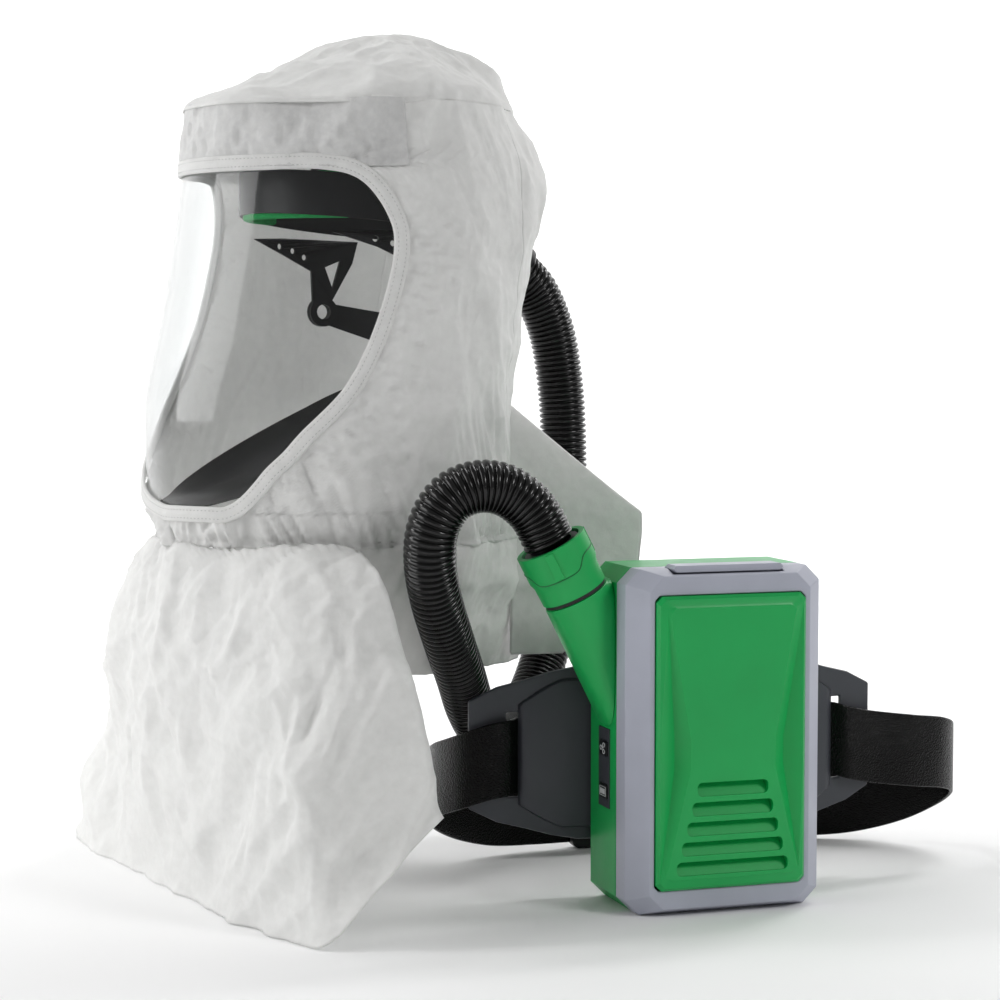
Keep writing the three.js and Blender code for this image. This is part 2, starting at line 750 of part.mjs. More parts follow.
// The tape sewn round the visor's edge, standing a little proud of the cloth.
function visorBinding() {
  const run = (z, reach) => [0.75, 0.5, 0.25, 0, -0.25, -0.5, -0.75].map((k) => [z, k * reach]);
  const left = VISOR_EDGE.map(([z, a]) => [z, a]);
  const right = [...VISOR_EDGE].reverse().map(([z, , a]) => [z, -a]);
  const chin = [0.25, 0.5, 0.75].map((k) => [VISOR_LOW, 8 + 23 * k]);
  const path = [...left, ...run(VISOR_HIGH, 50), ...right, ...chin];
  const loop = (grow, inset) =>
    path.map(([z, a], i) => {
      const [z0, a0] = path[(i + path.length - 1) % path.length];
      const [z1, a1] = path[(i + 1) % path.length];
      const across = new THREE.Vector2(z1 - z0, -(a1 - a0) * 2.3).normalize();
      return onHood(a + (grow * across.x) / 2.3, z + grow * across.y, inset);
    });
  return skin([loop(-5, -2), loop(5, -2), loop(5, -3.4), loop(-5, -3.4)], true);
}

// The bib hangs from the neck seam and spreads over the chest, with round corners.
function frontBib() {
  const columns = 14;
  const rows = 8;
  const hem = (s) => {
    const side = Math.abs(s);
    const round = Math.max(0, (side - 0.62) / 0.38);
    const reach = s > 0 ? 192 : 228;
    const lateral = Math.sign(s) * reach * Math.sin(Math.min(1, side / 0.72) * Math.PI / 2);
    return new THREE.Vector3(155 - 34 * side ** 2 - 75 * round ** 2, lateral, 42 * round ** 2);
  };
  const sheet = (inset) =>
    Array.from({ length: rows + 1 }, (_, i) =>
      Array.from({ length: columns + 1 }, (_, j) => {
        const t = i / rows;
        const s = -1 + (2 * j) / columns;
        const top = onHood(62 * s, NECK_Z, inset).setZ(NECK_Z - GAP);
        const low = hem(s);
        const spread = t ** (0.75 - 0.3 * Math.max(0, s));
        const p = new THREE.Vector3(
          top.x + (low.x - inset - top.x) * spread,
          top.y + (low.y * (1 - inset / 150) - top.y) * spread,
          top.z + (low.z - top.z) * t,
        );
        return p;
      }),
    );
  return slab(sheet(0), sheet(FABRIC));
}

// The cape closes the neck behind the bib and narrows towards its hem.
function capePanel(start, end, columns) {
  const heights = [NECK_Z - GAP, 220, 198, 174, CAPE_HEM];
  const sheet = (inset) =>
    heights.map((z) => {
      const fall = ((NECK_Z - z) / (NECK_Z - CAPE_HEM)) ** 1.2;
      return Array.from({ length: columns + 1 }, (_, j) => {
        const angle = radians(start + ((end - start) * j) / columns);
        const [c, s] = [Math.cos(angle), Math.sin(angle)];
        const reach = c > 0 ? 162 - 20 * fall : 100 + 10 * fall;
        const half = s > 0 ? 112 - 32 * fall : 112 + 8 * fall;
        return new THREE.Vector3((reach - inset) * c, (half - inset) * s, z);
      });
    });
  return slab(sheet(0), sheet(FABRIC));
}

// A fold of the cape that stands out behind the wearer's left shoulder.
function capeFlap() {
  const edge = [
    [334, 3],
    [300, 42],
    [257, 92],
    [217, 88],
    [186, 66],
    [156, 34],
  ];
  const rows = edge.map(([z, reach]) => {
    const root = onHood(140, Math.max(z, NECK_Z), -1.5).setZ(z);
    const out = new THREE.Vector3(-0.9, 0.44, 0);
    const across = new THREE.Vector3(0.44, 0.9, 0).multiplyScalar(FABRIC / 2);
    const start = root.clone().addScaledVector(out, 4).add(across);
    const tip = start.clone().addScaledVector(out, reach);
    const back = across.clone().multiplyScalar(-2);
    return [start, tip, tip.clone().add(back), start.clone().add(back)];
  });
  return strip(rows);
}

// The neck seal: a black sheet that slopes up to the back, with a sleeve for the neck.
function neckSeal() {
  const slope = (x) => 268 + (150 - x) * 0.4;
  const edge = (drop) =>
    Array.from({ length: 28 }, (_, i) => {
      const degrees = (360 / 28) * i;
      const z = Math.max(slope(onHood(degrees, 300).x), VISOR_LOW + 4);
      return onHood(degrees, z, 6).setZ(z - drop);
    });
  const throat = (a, b, drop) =>
    Array.from({ length: 28 }, (_, i) => {
      const angle = radians((360 / 28) * i);
      const x = 5 + a * Math.cos(angle);
      return new THREE.Vector3(x, b * Math.sin(angle), slope(x) - drop);
    });
  return skin([edge(0), throat(62, 56, 6), throat(56, 50, 46), throat(57.5, 51.5, 46.2),
    throat(63.5, 57.5, 8), edge(2)], true);
}

function buildHood(hood) {
  add("hood_crown", crown(), "fabric", hood);
  const brim = panel([VISOR_HIGH + 3, 520, CROWN_Z - GAP], () => -78, () => 78, 14, -0.6, FABRIC - 0.6);
  add("brim_band", brim, "fabric", hood);
  add("left_side_panel", sidePanel(1), "fabric", hood);
  add("right_side_panel", sidePanel(-1), "fabric", hood);
  add("back_panel", backPanel(), "fabric", hood);
  const lens = panel(VISOR_HEIGHTS, (z) => -visorAngle(z, -1), (z) => visorAngle(z, 1), 14, 0.4, 1.6);
  add("visor_lens", lens, "lens", hood);
  add("visor_binding", visorBinding(), "fabric", hood);
  add("front_bib", frontBib(), "fabric", hood);
  add("cape_left", capePanel(63, 124.8, 5), "fabric", hood);
  add("cape_back", capePanel(125.2, 234.8, 8), "fabric", hood);
  add("cape_right", capePanel(235.2, 297, 5), "fabric", hood);
  add("cape_flap", capeFlap(), "fabric", hood);
  add("neck_seal", neckSeal(), "black", hood);
}

// ---- Head harness -------------------------------------------------------------
// An oval band round the head, side plates that carry the pivots, and a nape band
// that tilts on the pivots and is tightened by a ratchet knob.
const HEAD = { x: 4, front: 92, back: 88, half: 76 };
const PIVOT = { x: -2, y: 80, z: 400 };
const NAPE_BACK = 64; // reach of the nape band behind the pivots' plane

function onHead(degrees, z, outside = 0, back = HEAD.back) {
  const [c, s] = [Math.cos(radians(degrees)), Math.sin(radians(degrees))];
  const reach = (c > 0 ? HEAD.front : back) + outside;
  return new THREE.Vector3(HEAD.x + reach * c, (HEAD.half + outside) * s, z);
}

function headband() {
  const loop = (outside, low) =>
    Array.from({ length: 32 }, (_, i) => {
      const degrees = (360 / 32) * i;
      const lift = 8 * Math.cos(radians(degrees));
      return onHead(degrees, (low ? 458 : 488) + lift, outside);
    });
  return skin([loop(0, true), loop(0, false), loop(-2, false), loop(-2, true)], true);
}

function browPad() {
  const heights = [462, 478, 494];
  const sheet = (inset) =>
    heights.map((z) => Array.from({ length: 11 }, (_, j) => onHead(-60 + 12 * j, z, -inset)));
  return slab(sheet(2.4), sheet(9));
}

// A strap over the top of the head, from one side of the band to the other.
function crownStrap() {
  const rows = Array.from({ length: 17 }, (_, i) => {
    const angle = Math.PI * (i / 16);
    const [c, s] = [Math.cos(angle), Math.sin(angle)];
    return [
      [0, -9],
      [0, 9],
      [2, 9],
      [2, -9],
    ].map(([inset, x]) => new THREE.Vector3(HEAD.x + x, (73 - inset) * c, 486 + (66 - inset) * s));
  });
  return strip(rows);
}

function sidePlate(side) {
  const outline = new THREE.Shape();
  outline.moveTo(62, 452);
  outline.lineTo(34, 442).lineTo(8, 430).lineTo(7, 408);
  outline.absarc(PIVOT.x, PIVOT.z, 11, 0.6, -Math.PI - 0.9, true);
  outline.lineTo(-24, 436).lineTo(-28, 452).lineTo(0, 453).lineTo(34, 453.5);
  outline.closePath();
  outline.holes.push(new THREE.Path().absarc(PIVOT.x, PIVOT.z, 5.6, 0, 2 * Math.PI));
  const corners = [[-3, 433], [-9, 417], [-15, 438]].map(([x, z]) => new THREE.Vector2(x, z));
  for (const [x, z] of [[14, 440], [24, 444.5], [36, 447.5]]) {
    outline.holes.push(new THREE.Path().absarc(x, z, 2.2, 0, 2 * Math.PI));
  }
  const flat = cut(plate(outline, -2.4, 0, 8), plate(new THREE.Shape(corners), -4, 2));
  const p = flat.attributes.position;
  for (let i = 0; i < p.count; i++) {
    const x = p.getX(i);
    const reach = x > HEAD.x ? HEAD.front : HEAD.back;
    const oval = HEAD.half * Math.sqrt(1 - ((x - HEAD.x) / reach) ** 2);
    p.setY(i, side * (oval + 3 - p.getY(i)));
  }
  return flat;
}

function napeArm(side) {
  const sheet = (outside) =>
    Array.from({ length: 3 }, (_, k) =>
      Array.from({ length: 7 }, (_, j) => {
        const degrees = 97 + 7.2 * j;
        const middle = 399 - 2.4 * j;
        const half = 8 + j * 0.8;
        return onHead(side * degrees, middle + half * (k - 1), outside, NAPE_BACK);
      }),
    );
  const arm = slab(sheet(6.9), sheet(9));
  const from = new THREE.Vector3(PIVOT.x, side * 82.4, PIVOT.z);
  const to = new THREE.Vector3(PIVOT.x, side * 85, PIVOT.z);
  const boss = rod(from, to, 11, 20);
  const hole = rod(from.clone().setY(side * 78), to.clone().setY(side * 90), 5.6, 16);
  return cut(join(arm, boss), hole);
}

function napeHousing() {
  const heights = [371, 384, 397];
  const sheet = (outside) =>
    heights.map((z) =>
      Array.from({ length: 9 }, (_, j) => onHead(148 + 8 * j, z, outside, NAPE_BACK)),
    );
  return slab(sheet(1), sheet(8));
}

function ratchetKnob() {
  const rear = HEAD.x - NAPE_BACK;
  const at = (x) => new THREE.Vector3(x, 0, 384);
  const wheel = rod(at(rear - 8.6), at(rear - 13.5), 13, 24);
  const ribs = Array.from({ length: 12 }, (_, i) => {
    const rib = box(rear - 13, 12.2, -1, rear - 9.5, 14.2, 1);
    return rib.rotateX((i / 12) * 2 * Math.PI).translate(0, 0, 384);
  });
  return join(wheel, ...ribs);
}

function buildHarness(hood) {
  add("headband", headband(), "black", hood);
  add("brow_pad", browPad(), "green", hood);
  add("crown_strap", crownStrap(), "black", hood);
  add("side_plate_left", sidePlate(1), "black", hood);
  add("side_plate_right", sidePlate(-1), "black", hood);
  add("nape_arm_left", napeArm(1), "black", hood);
  add("nape_arm_right", napeArm(-1), "black", hood);
  add("nape_housing", napeHousing(), "black", hood);
  add("ratchet_knob", ratchetKnob(), "black", hood);
}

// ---- The whole respirator -------------------------------------------------------
buildBlower();
buildHose();
buildBelt();
const hood = new THREE.Group();
hood.position.copy(HOOD_AXIS);
hood.rotation.z = HOOD_TURN;
respirator.add(hood);
buildHood(hood);
buildHarness(hood);
const inletTube = sleeve(15, 20.3, 12.4, 36, INLET, INLET_AXIS, 24);
add("hood_inlet", inletTube, "black");

export default respirator;
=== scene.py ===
# The looks of a powered air respirator: blower, breathing hose, belt and hood.
# All lengths are metres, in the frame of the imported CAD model.
import json
import math

import bmesh
import bpy
import numpy as np
from mathutils import Matrix, Vector, noise


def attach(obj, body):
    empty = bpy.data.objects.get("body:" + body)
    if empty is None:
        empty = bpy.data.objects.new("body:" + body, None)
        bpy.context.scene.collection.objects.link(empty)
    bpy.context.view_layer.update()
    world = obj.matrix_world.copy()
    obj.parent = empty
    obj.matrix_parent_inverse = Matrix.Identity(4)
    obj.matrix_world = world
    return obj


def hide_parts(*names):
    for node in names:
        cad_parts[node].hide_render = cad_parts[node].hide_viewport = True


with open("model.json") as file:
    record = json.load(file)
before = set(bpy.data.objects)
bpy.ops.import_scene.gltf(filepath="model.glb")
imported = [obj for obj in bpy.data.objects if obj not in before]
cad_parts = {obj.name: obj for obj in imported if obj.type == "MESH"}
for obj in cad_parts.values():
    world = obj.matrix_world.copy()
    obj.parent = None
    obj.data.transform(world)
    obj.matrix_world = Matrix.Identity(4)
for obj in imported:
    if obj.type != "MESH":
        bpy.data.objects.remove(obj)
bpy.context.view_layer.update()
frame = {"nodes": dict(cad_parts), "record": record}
BODY_OF = {n: b for b, ns in frame["record"]["behaviour"]["bodies"].items() for n in ns}
SLOT_OF = {p["node"]: p["material_slot"] for p in frame["record"]["subparts"]}

MM = 0.001
MIDDLE = Vector((-69.9, 176.65, 0)) * MM  # the origin, seen from the blower's middle
HOSE_DIAMETER = 35 * MM


def place(x, y, z):
    """A point given in millimetres from the blower's middle at floor level."""
    return Vector((x, y, z)) * MM - MIDDLE


# ---- Camera, floor and light ------------------------------------------------
def make_camera():
    data = bpy.data.cameras.new("camera")
    data.lens = 86
    data.sensor_width = 36
    camera = bpy.data.objects.new("camera", data)
    bpy.context.scene.collection.objects.link(camera)
    camera.location = place(-627, -1476, 375)
    camera.rotation_euler = (math.radians(90 - 3.7), 0, math.radians(-18))
    bpy.context.scene.camera = camera


def area_light(name, location, target, size, power, color=(1, 1, 1)):
    data = bpy.data.lights.new(name, "AREA")
    data.shape = "RECTANGLE"
    data.size, data.size_y = size
    data.energy = power
    data.color = color
    light = bpy.data.objects.new(name, data)
    bpy.context.scene.collection.objects.link(light)
    light.location = location
    aim = Vector(target) - Vector(location)
    light.rotation_euler = aim.to_track_quat("-Z", "Y").to_euler()
    return light


def make_stage():
    """A pale floor that curves up into a backdrop, and soft studio lights."""
    half, back, bend, top = 6.0, 1.5, 1.2, 4.5
    profile = [(-4.0, 0.0), (back, 0.0)]
    for k in range(1, 25):
        turn = math.radians(90 * k / 24)
        profile.append((back + bend * math.sin(turn), bend - bend * math.cos(turn)))
    profile.append((back + bend, top))
    vertices = [(side * half, y, z) for y, z in profile for side in (-1, 1)]
    faces = [(2 * k, 2 * k + 1, 2 * k + 3, 2 * k + 2) for k in range(len(profile) - 1)]
    mesh = bpy.data.meshes.new("floor")
    mesh.from_pydata(vertices, [], faces)
    for face in mesh.polygons:
        face.use_smooth = True
    floor = bpy.data.objects.new("floor", mesh)
    bpy.context.scene.collection.objects.link(floor)
    floor.location.z = -0.0004
    material = bpy.data.materials.new("floor")
    material.use_nodes = True
    shader = material.node_tree.nodes["Principled BSDF"]
    shader.inputs["Base Color"].default_value = (0.9, 0.9, 0.9, 1)
    shader.inputs["Roughness"].default_value = 0.8
    floor.data.materials.append(material)

    world = bpy.data.worlds.new("studio")
    bpy.context.scene.world = world
    world.use_nodes = True
    world.node_tree.nodes["Background"].inputs["Color"].default_value = (1, 1, 1, 1)
    world.node_tree.nodes["Background"].inputs["Strength"].default_value = 0.28
    middle = (-0.1, 0, 0.3)
    area_light("key", (-2.2, -0.15, 1.0), middle, (1.5, 1.6), 25)
    area_light("front", (1.6, -2.1, 1.7), middle, (0.7, 0.7), 24)
    area_light("rim", (2.0, 0.9, 1.4), middle, (1.3, 1.2), 11)
    area_light("backdrop_left", (-1.6, 0.9, 2.6), (-1.4, 2.7, 0.9), (1.5, 0.8), 58)
    area_light("backdrop_right", (1.6, 0.9, 2.6), (1.4, 2.7, 0.9), (1.5, 0.8), 58)
    bpy.context.scene.view_settings.view_transform = "Standard"


# ---- Materials ----------------------------------------------------------------
class Nodes:
    """A short way to write a material's nodes."""

    def __init__(self, name):
        self.material = bpy.data.materials.new(name)
        self.material.use_nodes = True
        self.tree = self.material.node_tree
        self.shader = self.tree.nodes["Principled BSDF"]
        self.where = self.tree.nodes.new("ShaderNodeTexCoord").outputs["Object"]

    def add(self, kind, **settings):
        node = self.tree.nodes.new("ShaderNode" + kind)
        for key, value in settings.items():
            setattr(node, key, value)
        return node

    def link(self, source, target):
        self.tree.links.new(source, target)

    def scaled(self, scale):
        """The object's coordinates, stretched by a factor for each axis."""
        mapping = self.add("Mapping")
        mapping.inputs["Scale"].default_value = scale
        self.link(self.where, mapping.inputs["Vector"])
        return mapping.outputs["Vector"]

    def noise(self, scale, detail=4, rough=0.55, vector=None):
        node = self.add("TexNoise")
        node.inputs["Scale"].default_value = scale
        node.inputs["Detail"].default_value = detail
        node.inputs["Roughness"].default_value = rough
        self.link(vector or self.where, node.inputs["Vector"])
        return node.outputs["Fac"]

    def voronoi(self, scale, feature="F1", vector=None):
        node = self.add("TexVoronoi", feature=feature)
        node.inputs["Scale"].default_value = scale
        self.link(vector or self.where, node.inputs["Vector"])
        return node.outputs["Distance"]

    def wave(self, scale, direction, distortion=0, vector=None):
        node = self.add("TexWave", bands_direction=direction)
        node.inputs["Scale"].default_value = scale
        node.inputs["Distortion"].default_value = distortion
        self.link(vector or self.where, node.inputs["Vector"])
        return node.outputs["Fac"]

    def ramp(self, value, stops):
        node = self.add("ValToRGB")
        while len(node.color_ramp.elements) < len(stops):
            node.color_ramp.elements.new(0.5)
        for element, (at, color) in zip(node.color_ramp.elements, stops):
            element.position = at
            element.color = (*color, 1)
        self.link(value, node.inputs["Fac"])
        return node.outputs["Color"]

    def to_range(self, value, low, high):
        node = self.add("MapRange")
        node.inputs["To Min"].default_value = low
        node.inputs["To Max"].default_value = high
        self.link(value, node.inputs["Value"])
        return node.outputs["Result"]

    def bump(self, heights):
        """Bumps in a chain: each is (height, distance in metres, strength)."""
        normal = None
        for height, distance, strength in heights:
            node = self.add("Bump")
            node.inputs["Distance"].default_value = distance
            node.inputs["Strength"].default_value = strength
            self.link(height, node.inputs["Height"])
            if normal:
                self.link(normal, node.inputs["Normal"])
            normal = node.outputs["Normal"]
        self.link(normal, self.shader.inputs["Normal"])

    def glow_through(self, color, share):
        """Lets part of the light pass through thin cloth and scatter."""
        light = self.add("BsdfTranslucent")
        light.inputs["Color"].default_value = (*color, 1)
        mix = self.add("MixShader")
        mix.inputs["Fac"].default_value = share
        self.link(self.shader.outputs["BSDF"], mix.inputs[1])
        self.link(light.outputs["BSDF"], mix.inputs[2])
        self.link(mix.outputs["Shader"], self.tree.nodes["Material Output"].inputs["Surface"])

    def set(self, **values):
        for key, value in values.items():
            self.shader.inputs[key.replace("_", " ")].default_value = value


def shade(color, factor):
    return tuple(c * factor for c in color)


def moulded_plastic(name, color, roughness, grain=2600, depth=0.00005, strength=0.25,
                    specular=0.5):
    """Moulded plastic: a fine spark-eroded grain, faint flow mottling, worn gloss."""
    m = Nodes(name)
    mottle = m.noise(18, 5)
    m.link(m.ramp(mottle, [(0.3, shade(color, 0.93)), (0.7, shade(color, 1.05))]),
           m.shader.inputs["Base Color"])
    smudge = m.noise(55, 6, 0.65)
    m.link(m.to_range(smudge, roughness - 0.07, roughness + 0.1), m.shader.inputs["Roughness"])
    m.bump([(m.noise(grain, 2), depth, strength), (m.noise(9, 2), 0.0004, 0.12)])
    m.set(Specular_IOR_Level=specular)
    return m.material


def spunbond(name):
    """White spunbond cloth: random fibres, a faint embossed dot grid, fine creases."""
    m = Nodes(name)
    fibre = m.noise(900, 8, 0.7, m.scaled((1, 1, 0.35)))
    fine = m.noise(160, 6, 0.6)
    # The colour is an uneven tone and also painted shade: it follows the fine creases' bump noise and is
    # darker in their hollows.
    tone_and_shade = m.ramp(fine, [(0.25, (0.80, 0.80, 0.79)), (0.75, (0.91, 0.91, 0.90))])
    m.link(tone_and_shade, m.shader.inputs["Base Color"])
    m.link(m.to_range(fibre, 0.55, 0.8), m.shader.inputs["Roughness"])
    crease = m.voronoi(38, "F1")
    small = m.voronoi(120, "F1")
    m.bump([
        (crease, 0.0035, 0.35),
        (small, 0.0012, 0.3),
        (fine, 0.0008, 0.35),
        (fibre, 0.00018, 0.5),
    ])
    m.set(Specular_IOR_Level=0.35, Sheen_Weight=0.1)
    m.glow_through((0.95, 0.95, 0.94), 0.36)
    return m.material


def brim_cloth(name):
    """The brim's reinforced cloth, with a fine thread running across it."""
    m = Nodes(name)
    thread = m.wave(520, "Z", 0.6)
    fine = m.noise(240, 6, 0.6)
    # The colour is an uneven tone and also painted shade: it follows the fine bump's noise and is darker in
    # its hollows.
    m.link(m.ramp(fine, [(0.25, (0.67, 0.67, 0.67)), (0.75, (0.80, 0.80, 0.79))]),
           m.shader.inputs["Base Color"])
    m.set(Roughness=0.72, Specular_IOR_Level=0.3)
    m.bump([(thread, 0.00025, 0.5), (fine, 0.0008, 0.3), (m.voronoi(50), 0.002, 0.2)])
    m.glow_through((0.85, 0.85, 0.84), 0.25)
    return m.material


def black_cloth(name):
    """The neck seal's coated black cloth, with long soft folds and painted shade in their hollows."""
    m = Nodes(name)
    weave = m.wave(900, "DIAGONAL", 0.4)
    fold = m.noise(14, 3)
    # Painted shade: the colour follows the folds' bump and is darker in their hollows.
    m.link(m.ramp(fold, [(0.3, (0.004, 0.004, 0.004)), (0.7, (0.010, 0.010, 0.011))]),
           m.shader.inputs["Base Color"])
    m.set(Roughness=0.6, Specular_IOR_Level=0.12)
    m.bump([(weave, 0.00012, 0.4), (fold, 0.004, 0.4)])
    return m.material


def glossy_hose(name):
    """Blow-moulded black tube: glossy, with faint mould swirls."""
    m = Nodes(name)
    swirl = m.noise(70, 4)
    m.link(m.ramp(swirl, [(0.3, (0.002, 0.002, 0.002)), (0.7, (0.005, 0.005, 0.005))]),
           m.shader.inputs["Base Color"])
    m.link(m.to_range(m.noise(300, 3), 0.14, 0.26), m.shader.inputs["Roughness"])
    m.bump([(m.noise(600, 3), 0.00008, 0.3)])
    m.set(Specular_IOR_Level=0.4)
    return m.material


def pebbled_belt(name):
    """Coated belt: glossy black with a small pebble grain and scuffed highlights."""
    m = Nodes(name)
    pebble = m.voronoi(800, "F1")
    scuff = m.noise(40, 7, 0.7)
    m.link(m.ramp(scuff, [(0.35, (0.002, 0.002, 0.002)), (0.75, (0.005, 0.005, 0.005))]),
           m.shader.inputs["Base Color"])
    m.link(m.to_range(scuff, 0.12, 0.3), m.shader.inputs["Roughness"])
    m.bump([(pebble, 0.0006, 0.9), (m.noise(60, 2), 0.0006, 0.15)])
    m.set(Specular_IOR_Level=0.13)
    return m.material


def clear_film(name):
    """Clear visor film: see-through, with gloss that grows at a slant."""
    m = Nodes(name)
    clear = m.add("BsdfTransparent")
    clear.inputs["Color"].default_value = (0.965, 0.97, 0.97, 1)
    gloss = m.add("BsdfGlossy")
    gloss.inputs["Roughness"].default_value = 0.09
    ripple = m.add("Bump")
    ripple.inputs["Distance"].default_value = 0.002
    ripple.inputs["Strength"].default_value = 0.12
    m.link(m.noise(9, 2), ripple.inputs["Height"])
    m.link(ripple.outputs["Normal"], gloss.inputs["Normal"])
    slant = m.add("LayerWeight")
    slant.inputs["Blend"].default_value = 0.5
    steep = m.add("Math", operation="POWER")
    steep.inputs[1].default_value = 2.6
    m.link(slant.outputs["Facing"], steep.inputs[0])
    share = m.to_range(steep.outputs["Value"], 0.022, 0.6)
    mix = m.add("MixShader")
    m.link(share, mix.inputs["Fac"])
    m.link(clear.outputs["BSDF"], mix.inputs[1])
    m.link(gloss.outputs["BSDF"], mix.inputs[2])
    m.link(mix.outputs["Shader"], m.tree.nodes["Material Output"].inputs["Surface"])
    return m.material


def brushed_steel(name):
    m = Nodes(name)
    streak = m.noise(800, 3, 0.5, m.scaled((1, 0.05, 1)))
    m.link(m.ramp(streak, [(0.3, (0.42, 0.43, 0.45)), (0.7, (0.62, 0.63, 0.65))]),
           m.shader.inputs["Base Color"])
    m.link(m.to_range(streak, 0.22, 0.4), m.shader.inputs["Roughness"])
    m.set(Metallic=1.0)
    return m.material


def soft_foam(name, color):
    """Open foam behind a knit: many small pits, with painted shade darkening them."""
    m = Nodes(name)
    pits = m.voronoi(900, "F1")
    # Painted shade: the colour is darkest at the bottoms of the pits, the low points of the same bump.
    m.link(m.ramp(pits, [(0.1, shade(color, 0.45)), (0.5, color)]), m.shader.inputs["Base Color"])
    m.set(Roughness=0.95, Specular_IOR_Level=0.15)
    m.bump([(pits, 0.0006, 0.7)])
    return m.material


def pleated_paper(name):
    m = Nodes(name)
    pleat = m.wave(95, "X")
    # Painted shade and light: the colour follows the pleats' bump, dark in their valleys and lighter on their
    # crests.
    m.link(m.ramp(pleat, [(0.2, (0.55, 0.54, 0.50)), (0.8, (0.86, 0.85, 0.79))]),
           m.shader.inputs["Base Color"])
    m.set(Roughness=0.95, Specular_IOR_Level=0.1)
    m.bump([(pleat, 0.0015, 0.8), (m.noise(700, 4), 0.0001, 0.4)])
    return m.material


GREEN = (0.0, 0.36, 0.075)
MATERIALS = {
    "green_plastic": moulded_plastic("green_plastic", GREEN, 0.4),
    "bezel_plastic": moulded_plastic("bezel_plastic", (0.40, 0.415, 0.49), 0.42),
    "slate_plastic": moulded_plastic("slate_plastic", (0.040, 0.043, 0.053), 0.45, 1500, 0.0001, 0.4),
    "black_plastic": moulded_plastic("black_plastic", (0.006, 0.006, 0.007), 0.4, specular=0.3),
    "hose_plastic": glossy_hose("hose_plastic"),
    "belt_web": pebbled_belt("belt_web"),
    "hood_fabric": spunbond("hood_fabric"),
    "seal_fabric": black_cloth("seal_fabric"),
    "visor_film": clear_film("visor_film"),
    "seal_rubber": moulded_plastic("seal_rubber", (0.010, 0.010, 0.010), 0.6),
    "foam": soft_foam("foam", (0.02, 0.30, 0.08)),
    "pad_fabric": soft_foam("pad_fabric", (0.022, 0.022, 0.025)),
    "steel": brushed_steel("steel"),
    "board": moulded_plastic("board", (0.02, 0.16, 0.06), 0.35),
    "filter_paper": pleated_paper("filter_paper"),
}
BRIM_CLOTH = brim_cloth("brim_cloth")


# ---- Shaping helpers ------------------------------------------------------------
def add_object(name, vertices, faces, material, body):
    mesh = bpy.data.meshes.new(name)
    mesh.from_pydata([tuple(v) for v in vertices], [], faces)
    mesh.materials.append(material)
    for face in mesh.polygons:
        face.use_smooth = True
    mesh.update()
    obj = bpy.data.objects.new(name, mesh)
    bpy.context.scene.collection.objects.link(obj)
    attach(obj, body)
    return obj


def grid_faces(rows, columns, around=False, along=False):
    """The quads of a grid of points; it may close around its rows or along its columns."""
    faces = []
    for i in range(rows if along else rows - 1):
        for j in range(columns if around else columns - 1):
            k = (j + 1) % columns
            n = (i + 1) % rows
            faces.append((i * columns + j, i * columns + k, n * columns + k, n * columns + j))
    return faces


def cloth(name, grid, thickness, material, nodes, around=False):
    """A sheet of cloth over a grid of points, with its thickness; it prints its cut size."""
    rows, columns = grid.shape[:2]
    obj = add_object(name, grid.reshape(-1, 3), grid_faces(rows, columns, around),
                     material, "root")
    solid = obj.modifiers.new("thickness", "SOLIDIFY")
    solid.thickness = thickness
    solid.offset = -1
    if nodes:
        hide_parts(*nodes)
    step_u = np.linalg.norm(np.diff(grid, axis=1), axis=2)
    step_v = np.linalg.norm(np.diff(grid, axis=0), axis=2)
    width = float(step_u.sum(axis=1).max())
    length = float(step_v.sum(axis=0).max())
    area = float(step_u.sum(axis=1).mean() * step_v.sum(axis=0).mean())
    area = min(max(area, 0.31 * width * length), width * length)
    print(f"CUT {name} {width:.3f} x {length:.3f} area {area:.4f}")
    return obj


def normals_of(grid):
    across = np.gradient(grid, axis=1)
    up = np.gradient(grid, axis=0)
    n = np.cross(across, up)
    return n / np.maximum(np.linalg.norm(n, axis=2, keepdims=True), 1e-9)


def ridge(point, scale, seed=0.0):
    """Noise with sharp crests, about -1 to 1."""
    moved = Vector(point) * scale
    moved.x += seed
    return 1 - 3 * abs(noise.noise(moved))


def facets(point, scale):
    """Flat-sided cells with creases between them, about 0 to 1."""
    return noise.voronoi(Vector(point) * scale)[0][0]


def crumple(grid, size=1.0):
    """How far crumpled cloth stands out at each point of a grid, in metres."""
    out = np.zeros(grid.shape[:2])
    for i, row in enumerate(grid):
        for j, p in enumerate(row):
            q = Vector((p[0], p[1], p[2] * 0.6))
            q = q + Vector(noise.noise_vector(q * 12)) * 0.024
            q = q + Vector(noise.noise_vector(q * 45)) * 0.006
            h = 5.0 * noise.noise(q * 9)
            h += 5.6 * ridge(q, 10, 5.0)
            h += 3.2 * ridge(q, 22, 9.0)
            h += 5.0 * (facets(q, 30) - 0.45)
            h += 1.2 * ridge(q, 55, 2.0)
            h += 0.4 * ridge(q, 140, 7.0)
            out[i, j] = h * 0.8
    return out * size * MM


def gathers(along, away, pitch, height, reach):
    """Folds gathered at a seam: they run away from it and die out over a distance."""
    out = np.zeros(along.shape)
    for index in np.ndindex(along.shape):
        p = Vector((along[index] / pitch, away[index] / (pitch * 6), 3.3))
        q = Vector((along[index] / (pitch * 0.45), away[index] / (pitch * 3), 8.1))
        out[index] = 1.4 * noise.noise(p) + 0.6 * (1 - 3 * abs(noise.noise(q)))
    return out * height * np.exp(-np.abs(away) / reach)


